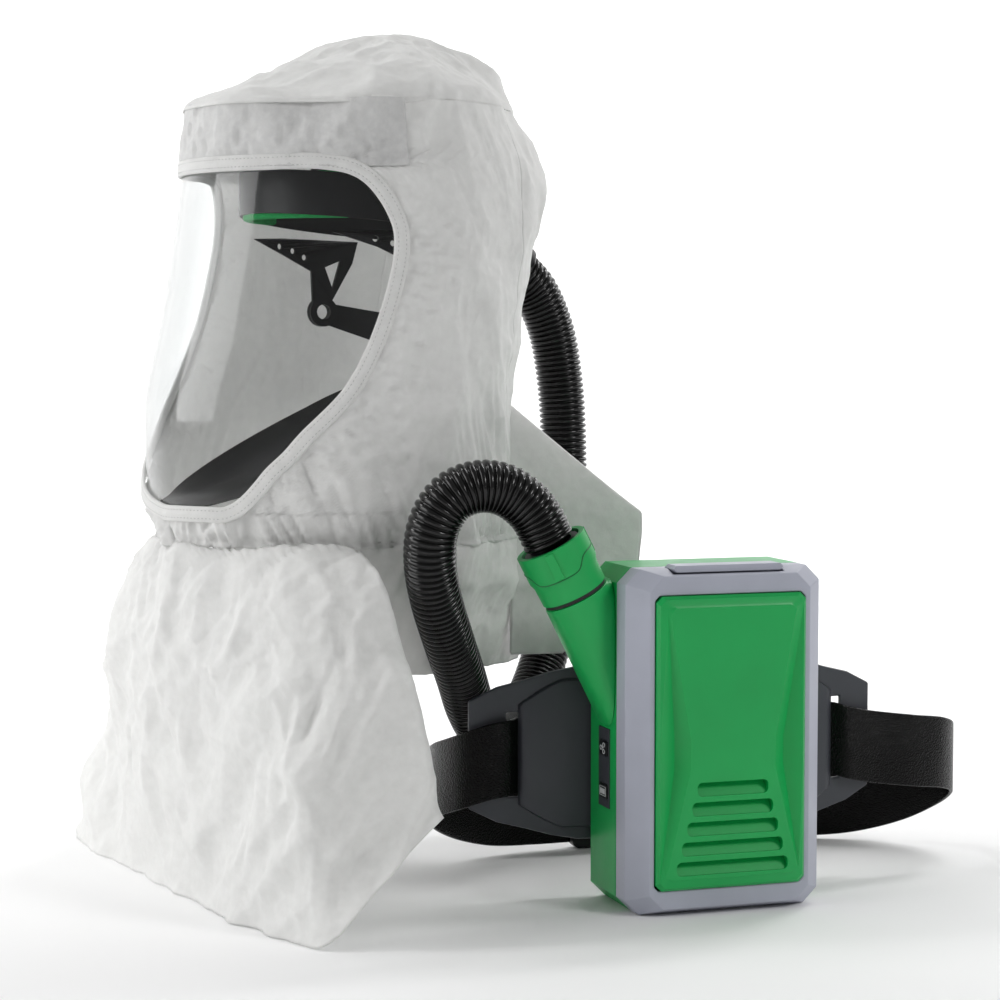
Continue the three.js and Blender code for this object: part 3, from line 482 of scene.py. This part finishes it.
def spline(points, count, closed=False):
    """A Catmull-Rom curve through points, as rows of coordinates."""
    p = np.array(points, dtype=float)
    if closed:
        p = np.vstack([p[-1], p, p[0], p[1]])
    else:
        p = np.vstack([2 * p[0] - p[1], p, 2 * p[-1] - p[-2]])
    spans = len(p) - 3
    out = []
    for k in range(count):
        t = k / (count if closed else count - 1) * spans
        i = min(int(t), spans - 1)
        t -= i
        a, b, c, d = p[i:i + 4]
        out.append(0.5 * (2 * b + (c - a) * t + (2 * a - 5 * b + 4 * c - d) * t ** 2
                          + (3 * b - a - 3 * c + d) * t ** 3))
    return np.array(out)


def evenly(points, step):
    """Points moved along their own line so that they are about one step apart."""
    gaps = np.linalg.norm(np.diff(points, axis=0), axis=1)
    at = np.concatenate([[0], np.cumsum(gaps)])
    count = max(2, int(round(at[-1] / step)) + 1)
    wanted = np.linspace(0, at[-1], count)
    return np.stack([np.interp(wanted, at, points[:, k]) for k in range(3)], axis=1)


def tube_rows(path, radii, sides):
    """Rings of points round a path, turned as little as possible from one to the next."""
    tangents = np.gradient(path, axis=0)
    tangents /= np.linalg.norm(tangents, axis=1, keepdims=True)
    side = Vector(tangents[0]).orthogonal().normalized()
    rings = []
    for p, t, r in zip(path, tangents, radii):
        t = Vector(t)
        side = (side - t * side.dot(t)).normalized()
        other = t.cross(side)
        turns = [2 * math.pi * k / sides for k in range(sides)]
        rings.append([Vector(p) + (side * math.cos(a) + other * math.sin(a)) * r for a in turns])
    return rings


def soften(node, width=0.8, segments=2, crisp=28, material=None):
    """A copy of a CAD solid with its edges rounded, in its own material."""
    source = frame["nodes"][node]
    mesh = source.data.copy()
    mesh.name = node + "_soft"
    shape = bmesh.new()
    shape.from_mesh(mesh)
    bmesh.ops.remove_doubles(shape, verts=shape.verts, dist=0.00002)
    bmesh.ops.dissolve_limit(shape, angle_limit=math.radians(1.0), verts=shape.verts,
                             edges=shape.edges)
    sharp = [e for e in shape.edges
             if len(e.link_faces) == 2 and e.calc_face_angle(0) > math.radians(crisp)]
    if width:
        bmesh.ops.bevel(shape, geom=sharp, offset=width * MM, segments=segments, profile=0.5,
                        affect="EDGES", clamp_overlap=True, loop_slide=True)
    for face in shape.faces:
        face.smooth = True
    shape.to_mesh(mesh)
    shape.free()
    mesh.set_sharp_from_angle(angle=math.radians(crisp))
    mesh.materials.clear()
    slot = SLOT_OF[node]
    mesh.materials.append(material or MATERIALS[slot])
    obj = bpy.data.objects.new(node + "_soft", mesh)
    bpy.context.scene.collection.objects.link(obj)
    weighted = obj.modifiers.new("weighted", "WEIGHTED_NORMAL")
    weighted.keep_sharp = True
    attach(obj, BODY_OF.get(node, "root"))
    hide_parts(node)
    return obj


# ---- Breathing hose -------------------------------------------------------------
HOSE_ROUTE = [
    (-110.6, 8, 245.7), (-122, 8, 266), (-140, 9, 280), (-160, 10, 283), (-178, 12, 275),
    (-188, 16, 257), (-188, 24, 234), (-180, 38, 208), (-165, 60, 178), (-148, 86, 148),
    (-134, 108, 122), (-118, 130, 104), (-96, 152, 98), (-72, 176, 108), (-52, 198, 132),
    (-38, 212, 164), (-29, 219, 205), (-25, 222, 250), (-25, 222, 300), (-28, 221, 345),
    (-36, 218, 385), (-50, 214, 414), (-67, 210, 431),
]
RIDGE_PITCH = 4.2 * MM
RIDGE_DEPTH = 2.9 * MM


def make_hose():
    """The corrugated hose: round ridges with narrow grooves between them."""
    middle = spline([place(*p) for p in HOSE_ROUTE], 1200)
    length = float(np.linalg.norm(np.diff(middle, axis=0), axis=1).sum())
    ridges = round(length / RIDGE_PITCH)
    samples = 8
    path = evenly(middle, length / (ridges * samples))
    radii = []
    for k in range(len(path)):
        phase = (k % samples) / samples
        groove = abs(2 * phase - 1) ** 3
        radii.append(HOSE_DIAMETER / 2 - RIDGE_DEPTH * groove)
    sides = 36
    rings = tube_rows(path, radii, sides)
    vertices = [v for ring in rings for v in ring]
    faces = grid_faces(len(rings), sides, around=True)
    last = len(vertices) - sides
    faces += [tuple(reversed(range(sides))), tuple(range(last, last + sides))]
    hose = add_object("corrugated_hose", vertices, faces, MATERIALS["hose_plastic"],
                      "root")
    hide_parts("breathing_hose")
    return hose, evenly(middle, 0.004), length


# ---- Hood shape -------------------------------------------------------------------
HOOD_AXIS = place(-185, 184, 0)
HOOD_TURN = math.radians(192.7)
NECK_Z, VISOR_LOW, VISOR_HIGH, CROWN_Z, CROWN_RISE = 243, 262, 497, 541, 45
CAPE_HEM = 150
BRIM_ANGLE = 78
SEAM_ANGLE = 125
# Height, reach to the front, reach to the back, half width.
HOOD_LEVELS = np.array([
    (NECK_Z, 162, 100, 112), (VISOR_LOW, 167, 92, 115), (340, 168, 84, 118),
    (390, 155, 92, 117), (440, 146, 107, 116), (VISOR_HIGH, 137, 126, 110),
    (CROWN_Z, 131, 104, 101),
])
# The visor's edge: height, angle from the front on the wearer's left, and on the right.
VISOR_EDGE = [
    (VISOR_LOW, 31, -8), (264, 34, -3), (267, 36.5, 3), (273, 39.5, 11), (281, 42.5, 18),
    (290, 45.5, 25), (301, 50, 32), (313, 54, 38), (345, 65, 48), (390, 72, 55),
    (438, 76, 59), (465, 74, 59), (489, 66, 56), (VISOR_HIGH, 54, 50),
]
TAPE_SHARE = 2.3  # millimetres along the hood for one degree round it


def hood_level(z, column):
    """A column of the levels at a height, rounded off where two levels meet."""
    steps = [np.interp(z + d, HOOD_LEVELS[:, 0], HOOD_LEVELS[:, column])
             for d in (-14, -7, 0, 7, 14)]
    return sum(steps) / len(steps)


def from_hood(x, y, z):
    """Hood coordinates in millimetres to the row frame in metres."""
    c, s = math.cos(HOOD_TURN), math.sin(HOOD_TURN)
    x, y, z = np.broadcast_arrays(np.asarray(x, float), y, z)
    grid = np.stack([x * c - y * s, x * s + y * c, z], axis=-1) * MM
    return grid + np.array(HOOD_AXIS)


def on_hood(degrees, z, out=0):
    """Points on the hood's surface, a little outside it, at angles from the front."""
    degrees, z = np.broadcast_arrays(np.asarray(degrees, float), np.asarray(z, float))
    angle = np.radians(degrees)
    ahead = np.cos(angle) > 0
    reach = np.where(ahead, hood_level(z, 1), hood_level(z, 2)) + out
    side = hood_level(z, 3) + out
    return from_hood(reach * np.cos(angle), side * np.sin(angle), z)


def visor_loop(count):
    """The closed line of the visor's edge: heights and angles."""
    left = [(z, a) for z, a, _ in VISOR_EDGE]
    top = [(VISOR_HIGH, a) for a in (32, 11, -11, -32)]
    right = [(z, -a) for z, _, a in reversed(VISOR_EDGE)]
    bottom = [(VISOR_LOW, a) for a in (14, 20, 26)]
    points = [(z, a * TAPE_SHARE) for z, a in left + top + right + bottom]
    line = spline(points, count, closed=True)
    return line[:, 0], line[:, 1] / TAPE_SHARE


def visor_angle(z, side=1):
    """The angle of the visor's edge at a height, on the wearer's left (1) or right (-1)."""
    heights = [row[0] for row in VISOR_EDGE]
    angles = [row[1 if side > 0 else 2] for row in VISOR_EDGE]
    fine = spline(list(zip(heights, angles)), 300)
    return np.interp(z, fine[:, 0], fine[:, 1])


def visor_distance(degrees, z):
    """How far points are from the visor's edge, and where along it they are nearest."""
    loop_z, loop_angle = visor_loop(240)
    line = np.stack([loop_z, loop_angle * TAPE_SHARE], axis=1)
    at = np.linalg.norm(np.roll(line, -1, 0) - line, axis=1).cumsum()
    degrees, z = np.broadcast_arrays(degrees, z)
    turn = (degrees + 180) % 360 - 180
    gap = np.hypot(z[..., None] - line[:, 0], turn[..., None] * TAPE_SHARE - line[:, 1])
    nearest = gap.argmin(axis=-1)
    return gap.min(axis=-1) * MM, at[nearest] * MM


def fine_count(count):
    return count


def hood_folds(grid, degrees, z):
    """How far the hood's cloth stands out: crumples, and gathers at its neck and visor."""
    degrees, z = np.broadcast_arrays(degrees, z)
    away, along = visor_distance(degrees, z)
    above = (z - NECK_Z) * MM
    arc = degrees * TAPE_SHARE * MM
    move = crumple(grid, 0.95) * (1 - 0.9 * np.exp(-away / 0.022))
    move *= np.clip(0.35 + np.abs(above) / 0.05, 0, 1)
    move += gathers(along + 0.5 * away, away + 0.002, 0.015, 0.0042, 0.034)
    move *= np.clip(away / 0.009, 0.08, 1)
    move += gathers(arc + 0.35 * above, above, 0.019, 0.0055, 0.055)
    return move - 0.004 * np.exp(-np.abs(above) / 0.008)


def crumpled_panel(start, end, heights, columns):
    """A hood panel between two edges, each an angle for every height."""
    z = np.array(heights)[:, None]
    share = np.linspace(0, 1, columns)[None, :]
    degrees = start[:, None] * (1 - share) + end[:, None] * share
    grid = on_hood(degrees, z)
    return grid + normals_of(grid) * hood_folds(grid, degrees, z)[..., None]


# ---- Hood pieces ------------------------------------------------------------------
CLOTH = 0.35 * MM


def make_hood_shell():
    """The side panels, the chin band under the visor and the back panel."""
    white = MATERIALS["hood_fabric"]
    z = np.linspace(NECK_Z - 4, CROWN_Z, fine_count(170))
    above = np.clip((z - VISOR_HIGH) / 9, 0, 1)
    seam = np.full(len(z), float(SEAM_ANGLE))
    edges = []
    for side in (1, -1):
        start = visor_angle(z, side)
        edges.append(start + (BRIM_ANGLE - 10 - start) * above)
    left = crumpled_panel(edges[0], seam, z, fine_count(96))
    right = crumpled_panel(-seam, -edges[1], z, fine_count(120))
    back = crumpled_panel(seam, 360 - seam, z, fine_count(120))
    chin_z = np.linspace(NECK_Z - 4, VISOR_LOW + 1, fine_count(22))
    chin = crumpled_panel(np.full(len(chin_z), 7.0), np.full(len(chin_z), 32.0), chin_z,
                          fine_count(40))
    cloth("left_side_cloth", left, CLOTH, white, ["left_side_panel"])
    cloth("right_side_cloth", right, CLOTH, white, ["right_side_panel"])
    cloth("back_cloth", back, CLOTH, white, ["back_panel"])
    cloth("chin_cloth", chin, CLOTH, white, [])


def make_crown():
    """The gathered top: it slopes up from the brim and is fullest over the back."""
    degrees = np.linspace(0, 360, fine_count(220) + 1)[:-1]
    front = 0.5 + 0.5 * np.cos(np.radians(degrees))
    power = 2.4 - 1.2 * front
    turn = np.abs((degrees + 180) % 360 - 180)
    lap = np.clip((BRIM_ANGLE + 12 - turn) / 12, 0, 1)
    rows = [on_hood(degrees, CROWN_Z - 4 * k * lap, 2.6 * lap) for k in (1, 0.5)]
    centre = from_hood(0, 0, CROWN_Z)
    for share in np.concatenate([1 - np.linspace(0, 0.14, 22) ** 1.4, np.linspace(0.92, 0.02, 60)]):
        ring = on_hood(degrees, CROWN_Z, 1.6 * lap)
        row = centre + (ring - centre) * share
        row[:, 2] += CROWN_RISE * MM * (1 - share ** power) ** (0.62 + 0.33 * front)
        rows.append(row)
    grid = np.stack(rows)
    outward = np.cross(np.roll(grid, -1, 1) - np.roll(grid, 1, 1), np.gradient(grid, axis=0))
    outward /= np.maximum(np.linalg.norm(outward, axis=2, keepdims=True), 1e-9)
    sideways = on_hood(degrees, CROWN_Z, 1) - on_hood(degrees, CROWN_Z)
    sideways /= np.linalg.norm(sideways, axis=1, keepdims=True)
    blend = np.clip((np.arange(len(rows)) - 2) / 14, 0, 1)[:, None, None]
    outward = outward * blend + sideways[None] * (1 - blend)
    level = np.clip((grid[..., 2] / MM - CROWN_Z) / 20, 0, 1)
    move = crumple(grid, 1.05) + level * crumple(grid[..., [1, 2, 0]], 0.4)
    move *= 1 - 0.5 * lap * (1 - level)
    grid = grid + outward * move[..., None]
    cloth("crown_cloth", grid, CLOTH, MATERIALS["hood_fabric"], ["hood_crown"],
          around=True)


def make_brim():
    z = np.linspace(VISOR_HIGH - 3, CROWN_Z - 1, fine_count(36))[:, None]
    degrees = np.linspace(-BRIM_ANGLE, BRIM_ANGLE, fine_count(160))[None, :]
    grid = on_hood(degrees, z, 1.5)
    plain = on_hood(degrees, z)
    inner = np.clip((46 - np.abs(degrees)) / 14, 0, 1)
    move = hood_folds(plain, degrees, z) * (1 - 0.45 * inner)
    grid = grid + normals_of(grid) * move[..., None]
    cloth("brim_cloth", grid, CLOTH, BRIM_CLOTH, ["brim_band"])


def bib_hem(s):
    """The bib's bottom edge in hood coordinates, from the wearer's right (-1) to left (1)."""
    side = np.abs(s)
    corner = np.maximum(0, (side - 0.62) / 0.38)
    reach = np.where(s > 0, 208, 214)
    lateral = np.sign(s) * reach * np.sin(np.minimum(1, side / 0.72) * math.pi / 2)
    return 155 - 34 * side ** 2 - 60 * corner ** 2, lateral, 74 * corner ** 1.7


def make_bib():
    rows, columns = fine_count(110), fine_count(170)
    t = np.linspace(1, 0, rows)[:, None, None]
    s = np.linspace(-1, 1, columns)
    top = on_hood(62 * s, NECK_Z)[None]
    low = from_hood(*bib_hem(s))[None]
    power = (0.75 - 0.3 * np.clip(s, 0, 1))[None, :, None]
    spread = np.concatenate([t ** power] * 2 + [np.broadcast_to(t, (rows, columns, 1))], axis=2)
    grid = top + (low - top) * spread
    down = np.linalg.norm(np.diff(grid, axis=0), axis=2).cumsum(axis=0)
    from_hem = np.vstack([np.zeros(columns), down])
    from_neck = from_hem[-1][None] - from_hem
    arc = np.linalg.norm(np.diff(grid, axis=1), axis=2).cumsum(axis=1)
    arc = np.hstack([np.zeros((rows, 1)), arc])
    move = crumple(grid, 1.45)
    move *= 0.55 + 0.45 * np.clip(from_hem / 0.05, 0, 1)
    move *= np.clip(0.3 + from_neck / 0.06, 0, 1)
    move += gathers(arc + 0.3 * from_neck, from_neck, 0.014, 0.0028, 0.05)
    move += gathers(arc - 0.2 * from_hem, from_hem, 0.11, 0.006, 0.12)
    move -= 0.004 * np.exp(-from_neck / 0.007)
    move += 0.005 * np.exp(-from_hem / 0.01)
    grid = grid + normals_of(grid) * move[..., None]
    grid[..., 2] = np.maximum(grid[..., 2], 0.0006)
    cloth("bib_cloth", grid, CLOTH, MATERIALS["hood_fabric"], ["front_bib"])


def make_cape():
    z = np.linspace(CAPE_HEM, NECK_Z, fine_count(56))[:, None]
    degrees = np.linspace(60, 300, fine_count(200))[None, :]
    angle = np.radians(degrees)
    fall = ((NECK_Z - z) / (NECK_Z - CAPE_HEM)) ** 1.2
    reach = np.where(np.cos(angle) > 0, 162 - 20 * fall, 100 + 10 * fall)
    half = np.where(np.sin(angle) > 0, 112 - 32 * fall, 112 + 8 * fall)
    grid = from_hood(reach * np.cos(angle), half * np.sin(angle), z)
    below = (NECK_Z - z) * MM * np.ones_like(angle)
    arc = angle * 0.11
    move = crumple(grid, 1.0) * np.clip(0.35 + below / 0.05, 0, 1)
    move += gathers(arc + 0.3 * below, below, 0.016, 0.004, 0.05)
    move -= 0.004 * np.exp(-below / 0.007)
    grid = grid + normals_of(grid) * move[..., None]
    cloth("cape_cloth", grid, CLOTH, MATERIALS["hood_fabric"],
          ["cape_left", "cape_back", "cape_right"])


# The fold that stands out of the cape: height and how far it reaches out.
FOLD_EDGE = np.array([(156, 34), (186, 66), (217, 88), (257, 92), (300, 42), (334, 3)])


def make_fold():
    """A doubled fold of the cape behind the wearer's left shoulder."""
    z = np.linspace(FOLD_EDGE[0, 0], FOLD_EDGE[-1, 0], fine_count(90))
    reach = np.interp(z, FOLD_EDGE[:, 0], FOLD_EDGE[:, 1]) + 4
    root = on_hood(140, np.maximum(z, NECK_Z), -2)
    root[:, 2] = z * MM
    origin = from_hood(0, 0, 0)
    out = from_hood(-0.9, 0.44, 0) - origin
    across = from_hood(0.44, 0.9, 0) - origin
    out /= np.linalg.norm(out)
    across /= np.linalg.norm(across)
    columns = []
    steps = fine_count(36)
    for k in range(2 * steps + 1):
        share = k / steps if k <= steps else 2 - k / steps
        side = 1 if k <= steps else -1
        round_off = math.sqrt(max(0, 1 - share ** 8))
        gap = side * (1.2 + 3.8 * (1 - share)) * MM * round_off
        columns.append(root + out * (reach * share * MM)[:, None] + across * gap)
    grid = np.stack(columns, axis=1)
    share = np.abs(np.linspace(-1, 1, 2 * steps + 1))[None, :]
    move = crumple(grid, 0.65) * (0.25 + 0.75 * share)
    grid = grid + across * move[..., None]
    cloth("cape_fold", grid, CLOTH, MATERIALS["hood_fabric"], ["cape_flap"])


def make_visor():
    """The clear film, and the white tape sewn round its edge with two rows of stitches."""
    z = np.linspace(VISOR_LOW, VISOR_HIGH, fine_count(60))[:, None]
    share = np.linspace(0, 1, fine_count(80))[None, :]
    grid = on_hood(visor_angle(z) * share - visor_angle(z, -1) * (1 - share), z, -1)
    film = add_object("visor_film", grid.reshape(-1, 3), grid_faces(*grid.shape[:2]),
                      MATERIALS["visor_film"], "root")
    solid = film.modifiers.new("thickness", "SOLIDIFY")
    solid.thickness = 0.5 * MM
    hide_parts("visor_lens")

    heights, angles = visor_loop(fine_count(480))
    base = on_hood(angles, heights, 1.2)
    lift = on_hood(angles, heights, 2.2) - base
    lift /= np.linalg.norm(lift, axis=1, keepdims=True)
    along = np.roll(base, -1, 0) - np.roll(base, 1, 0)
    along /= np.linalg.norm(along, axis=1, keepdims=True)
    across = np.cross(along, lift)
    across /= np.linalg.norm(across, axis=1, keepdims=True)
    section = [(-5.4, -0.8), (-5.2, 0.9), (-4.2, 1.7), (-2.7, 1.35), (-1.2, 1.8), (0, 1.9),
               (1.2, 1.8), (2.7, 1.35), (4.2, 1.7), (5.2, 0.9), (5.4, -0.8), (0, -1.4)]
    ripple = np.array([0.35 * noise.noise(Vector(p) * 90) for p in base])
    rings = []
    for p, n, b, w in zip(base, lift, across, ripple):
        rings += [p + (b * u + n * (h + (w if h > 0 else 0))) * MM for u, h in section]
    faces = grid_faces(len(base), len(section), around=True, along=True)
    tape = add_object("visor_tape", rings, faces, MATERIALS["hood_fabric"], "root")
    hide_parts("visor_binding")

    vertices, faces = [], []
    for row in (-2.7, 2.7):
        line = evenly(base + across * row * MM + lift * 1.5 * MM, 0.003)
        for a, b in zip(line[:-1], line[1:]):
            step = (b - a) * 0.66
            middle = a + step * 0.5
            up = np.array([0, 0, 1.0]) - step * (step[2] / float(step @ step))
            up = up / max(np.linalg.norm(up), 1e-6) * 0.3 * MM
            side = np.cross(step, up)
            side = side / max(np.linalg.norm(side), 1e-12) * 0.35 * MM
            k = len(vertices)
            vertices += [a, middle + up, middle + side, middle - up, middle - side, a + step]
            for n in range(4):
                m = (n + 1) % 4
                faces += [(k, k + 1 + m, k + 1 + n), (k + 5, k + 1 + n, k + 1 + m)]
    add_object("visor_stitches", vertices, faces, THREAD, "root")


def make_neck_seal():
    """The black cloth that closes the hood under the chin, and a black sleeve below it that stands in for the
    shade inside the neck opening.
    """
    degrees = np.linspace(0, 360, fine_count(160) + 1)[:-1]
    angle = np.radians(degrees)
    outer = np.stack([hood_level(300, 1) * np.cos(angle)], axis=1)[:, 0]
    outer = np.where(np.cos(angle) > 0, outer, hood_level(300, 2) * np.cos(angle))
    height = np.maximum(268 + (150 - outer) * 0.4, VISOR_LOW + 3)
    turn = (degrees + 180) % 360 - 180
    past_visor = np.where(turn > 0, turn - 36, -turn - 12)
    edge = on_hood(degrees, height, -3 - 10 * np.clip(past_visor / 16, 0, 1))
    x = 5 + 62 * np.cos(angle)
    throat = from_hood(x, 56 * np.sin(angle), 268 + (150 - x) * 0.4 - 6)
    # Painted shade: a black sleeve hangs below the opening so that the view into it is dark, where inside the
    # hood there is only shade.
    shade_sleeve = from_hood(5 + 56 * np.cos(angle), 50 * np.sin(angle), 268 + (145 - 56 * np.cos(angle)) * 0.4 - 46)
    rows = [edge + (throat - edge) * k for k in np.linspace(0, 1, fine_count(30))]
    rows += [throat + (shade_sleeve - throat) * k for k in np.linspace(0.1, 1, 12)]
    grid = np.stack(rows)
    slack = np.sin(np.linspace(0, math.pi, len(rows)))[:, None]
    sag = np.zeros(grid.shape[:2])
    for i in range(grid.shape[0]):
        for j in range(grid.shape[1]):
            sag[i, j] = noise.noise(Vector(grid[i, j]) * 13)
    grid[..., 2] += 0.006 * sag * slack - 0.003 * slack
    cloth("neck_seal_cloth", grid[::-1], 0.8 * MM, MATERIALS["seal_fabric"],
          ["neck_seal"], around=True)


# ---- Belt and backplate -------------------------------------------------------------
BELT_LEFT = [
    (-104, 61.5, 96.5), (-112, 59, 96.5), (-120, 53.4, 96), (-127, 48.4, 95.5), (-140, 50.6, 93), (-153, 60, 87), (-160, 80, 80),
    (-162, 104, 73), (-158, 128, 64), (-144, 150, 52), (-122, 168, 41), (-94, 181, 33),
    (-62, 187.5, 30.5), (-31.4, 188.5, 30.3),
]
BELT_RIGHT = [
    (31.4, 188.5, 30.3), (64, 187, 29.5), (104, 180, 28), (146, 169, 27.5), (184, 154, 31),
    (215, 133, 42), (231, 107, 58), (228, 80, 72), (210, 61, 80), (184, 53, 84),
    (155, 52, 88), (139, 50, 91), (127, 48.4, 94), (120, 53.4, 96),
    (112, 59, 96.5), (104, 61.5, 96.5),
]
BELT_WIDTH, BELT_THICKNESS = 52, 3


def make_strap(name, points, node):
    """A coated strap standing on edge, with rounded edges."""
    line = evenly(spline([place(*p) for p in points], 400), 0.003)
    ahead = np.gradient(line, axis=0)
    side = np.stack([-ahead[:, 1], ahead[:, 0], np.zeros(len(line))], axis=1)
    side /= np.linalg.norm(side, axis=1, keepdims=True)
    half, thick, r = BELT_WIDTH / 2, BELT_THICKNESS / 2, 1.3
    section = []
    for a, b, start in ((1, 1, 0), (-1, 1, 90), (-1, -1, 180), (1, -1, 270)):
        for turn in (0, 30, 60, 90):
            angle = math.radians(start + turn)
            section.append((a * (thick - r) + r * math.cos(angle),
                            b * (half - r) + r * math.sin(angle)))
    vertices = []
    for p, n in zip(line, side):
        vertices += [p + n * u * MM + np.array([0, 0, v * MM]) for u, v in section]
    count = len(section)
    faces = grid_faces(len(line), count, around=True)
    last = len(vertices) - count
    faces += [tuple(reversed(range(count))), tuple(range(last, last + count))]
    strap = add_object(name, vertices, faces, MATERIALS["belt_web"], "root")
    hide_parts(node)


def plate_depth(x):
    return 44 + 16 * (x / 150) ** 2


PANEL_REACH = 117


def make_plate_panel():
    """The raised inner panel of the backplate, with sloped edges and cut corners."""
    rows = []
    for x in np.linspace(-PANEL_REACH, PANEL_REACH, 75):
        cut = max(0, abs(x) - 86) / 31
        half = 51 - 17 * cut ** 1.3
        row = []
        for v, proud in ((-1, 0.5), (-0.97, 2.6), (-0.93, 3.0), (0.93, 3.0), (0.97, 2.6), (1, 0.5)):
            edge = min(1, (PANEL_REACH - abs(x)) / 4)
            row.append(place(x, plate_depth(x) - proud * edge, 97 + half * v))
        rows.append(row)
    grid = np.array(rows)
    panel = add_object("backplate_panel", grid.reshape(-1, 3), grid_faces(*grid.shape[:2]),
                       MATERIALS["slate_plastic"], "root")
    panel.data.set_sharp_from_angle(angle=math.radians(35))
    solid = panel.modifiers.new("thickness", "SOLIDIFY")
    solid.thickness = 0.8 * MM
    solid.offset = 0


# ---- Blower details -------------------------------------------------------------------
FRONT = -38


def make_louvres():
    """Sloped slats that close the cover's slots, low at the front and high at the back."""
    vertices, faces = [], []
    for i in range(5):
        z = 84.5 - 13 * i
        half = 25 + 3.6 * i
        section = [(FRONT - 3.9, z - 4.9), (FRONT - 2.4, z - 4.9), (FRONT + 4.8, z + 4.4),
                   (FRONT + 4.8, z + 5.4), (FRONT + 3.4, z + 5.2)]
        for x in (-half, half):
            vertices += [place(x, y, h) for y, h in section]
        k = 10 * i
        faces += [tuple(range(k + 4, k - 1, -1)), tuple(range(k + 5, k + 10))]
        for n in range(5):
            m = (n + 1) % 5
            faces.append((k + n, k + m, k + 5 + m, k + 5 + n))
    slats = add_object("cover_louvres", vertices, faces, MATERIALS["green_plastic"],
                       "cover")
    slats.data.set_sharp_from_angle(angle=math.radians(25))


def raised_line(name, points, radius, material, body, closed=False):
    """A thin raised line that follows points in millimetres, for printed paint or for painted shade."""
    path = [np.array(place(*p)) for p in points]
    if closed:
        path = path + [path[0], path[1]]
    rings = tube_rows(np.array(path), [radius * MM] * len(path), 6)
    vertices = [v for ring in rings for v in ring]
    faces = grid_faces(len(rings), 6, around=True)
    faces += [tuple(range(5, -1, -1)), tuple(range(len(vertices) - 6, len(vertices)))]
    return add_object(name, vertices, faces, material, body)


def make_icons():
    """A fan on the power button and a battery with three bars on the charge button."""
    x, y = -71.3, 11.5
    for blade in range(3):
        points = []
        for k in range(12):
            a = 2 * math.pi * k / 12
            reach = 2.3 + 1.7 * math.cos(a)
            turn = 2 * math.pi * blade / 3 + 0.55 * math.sin(a)
            points.append((x, y + 1.3 * reach * math.cos(turn), 106 + reach * math.sin(turn)))
        raised_line(f"fan_icon_{blade + 1}", points, 0.3, PAINT, "power", True)
    frame_points = [(x, y - 5.4, 74), (x, y + 5.4, 74), (x, y + 5.4, 80), (x, y - 5.4, 80)]
    raised_line("battery_icon", frame_points, 0.3, PAINT, "charge", True)
    for k in (-1, 0, 1):
        bar = [(x, y + 3 * k, 75.2), (x, y + 3 * k, 78.8)]
        raised_line(f"battery_bar_{k + 2}", bar, 0.75, PAINT, "charge")


def make_collar_seam():
    """The wavy parting line round the locking collar, drawn as a raised dark line of painted shade for the
    shadow in the split.
    """
    tilt = math.radians(27.5)
    axis = Vector((-math.sin(tilt), 0, math.cos(tilt)))
    first = Vector((math.cos(tilt), 0, math.sin(tilt)))
    second = Vector((0, -1, 0))
    mouth = Vector((-92, 8, 210))
    points = []
    for k in range(96):
        a = 2 * math.pi * k / 96
        height = 23 + 4.5 * math.tanh(3 * math.sin(2 * a + 0.6))
        radius = 24.3 if height > 20 else 22.9 + 1.4 * (height - 16) / 4
        points.append(mouth + axis * height + (first * math.cos(a) + second * math.sin(a)) * radius)
    raised_line("collar_seam", points, 0.45, SPLIT_SHADE_GREEN, "collar", True)


# ---- The whole respirator ----------------------------------------------------------------
def thread_material():
    m = Nodes("thread")
    twist = m.wave(1800, "DIAGONAL", 0.5)
    # Painted shade: the colour follows the twist's bump and is darker in its grooves.
    m.link(m.ramp(twist, [(0.2, (0.5, 0.5, 0.5)), (0.8, (0.72, 0.72, 0.71))]),
           m.shader.inputs["Base Color"])
    m.set(Roughness=0.8)
    m.bump([(twist, 0.0001, 0.4)])
    return m.material


THREAD = thread_material()
PAINT = moulded_plastic("paint", (0.62, 0.63, 0.64), 0.5)
# Painted shade: a dark green for the shadow in the locking collar's split.
SPLIT_SHADE_GREEN = moulded_plastic("split_shade_green", (0.0, 0.14, 0.035), 0.5)
SOFT_NODES = {
    "breathing_hose", "hood_crown", "brim_band", "left_side_panel", "right_side_panel",
    "back_panel", "visor_lens", "visor_binding", "front_bib", "cape_left", "cape_back",
    "cape_right", "cape_flap", "neck_seal", "belt_left", "belt_right",
}
EDGES = {
    "cover_frame": 0.9, "filter_cover": 0.5, "rear_housing": 0.9, "outlet_duct": 0.6,
    "locking_collar": 0.5, "backplate": 1.4, "comfort_pad": 2.4, "brow_pad": 2.2,
    "cover_latch": 0.9, "battery_pack": 0.8, "buckle_socket": 1.0, "buckle_tongue": 1.0,
}
for name, material in MATERIALS.items():
    material.name = name

make_camera()
hose, hose_path, hose_length = make_hose()
for node in frame["nodes"]:
    if node not in SOFT_NODES:
        soften(node, EDGES.get(node, 0.4))
print(f"HOSE {hose_length:.3f}")
make_stage()
make_hood_shell()
make_crown()
make_brim()
make_bib()
make_cape()
make_fold()
make_visor()
make_neck_seal()
make_strap("belt_left_strap", BELT_LEFT, "belt_left")
make_strap("belt_right_strap", BELT_RIGHT, "belt_right")
make_plate_panel()
make_louvres()
make_icons()
make_collar_seam()

bpy.context.view_layer.update()
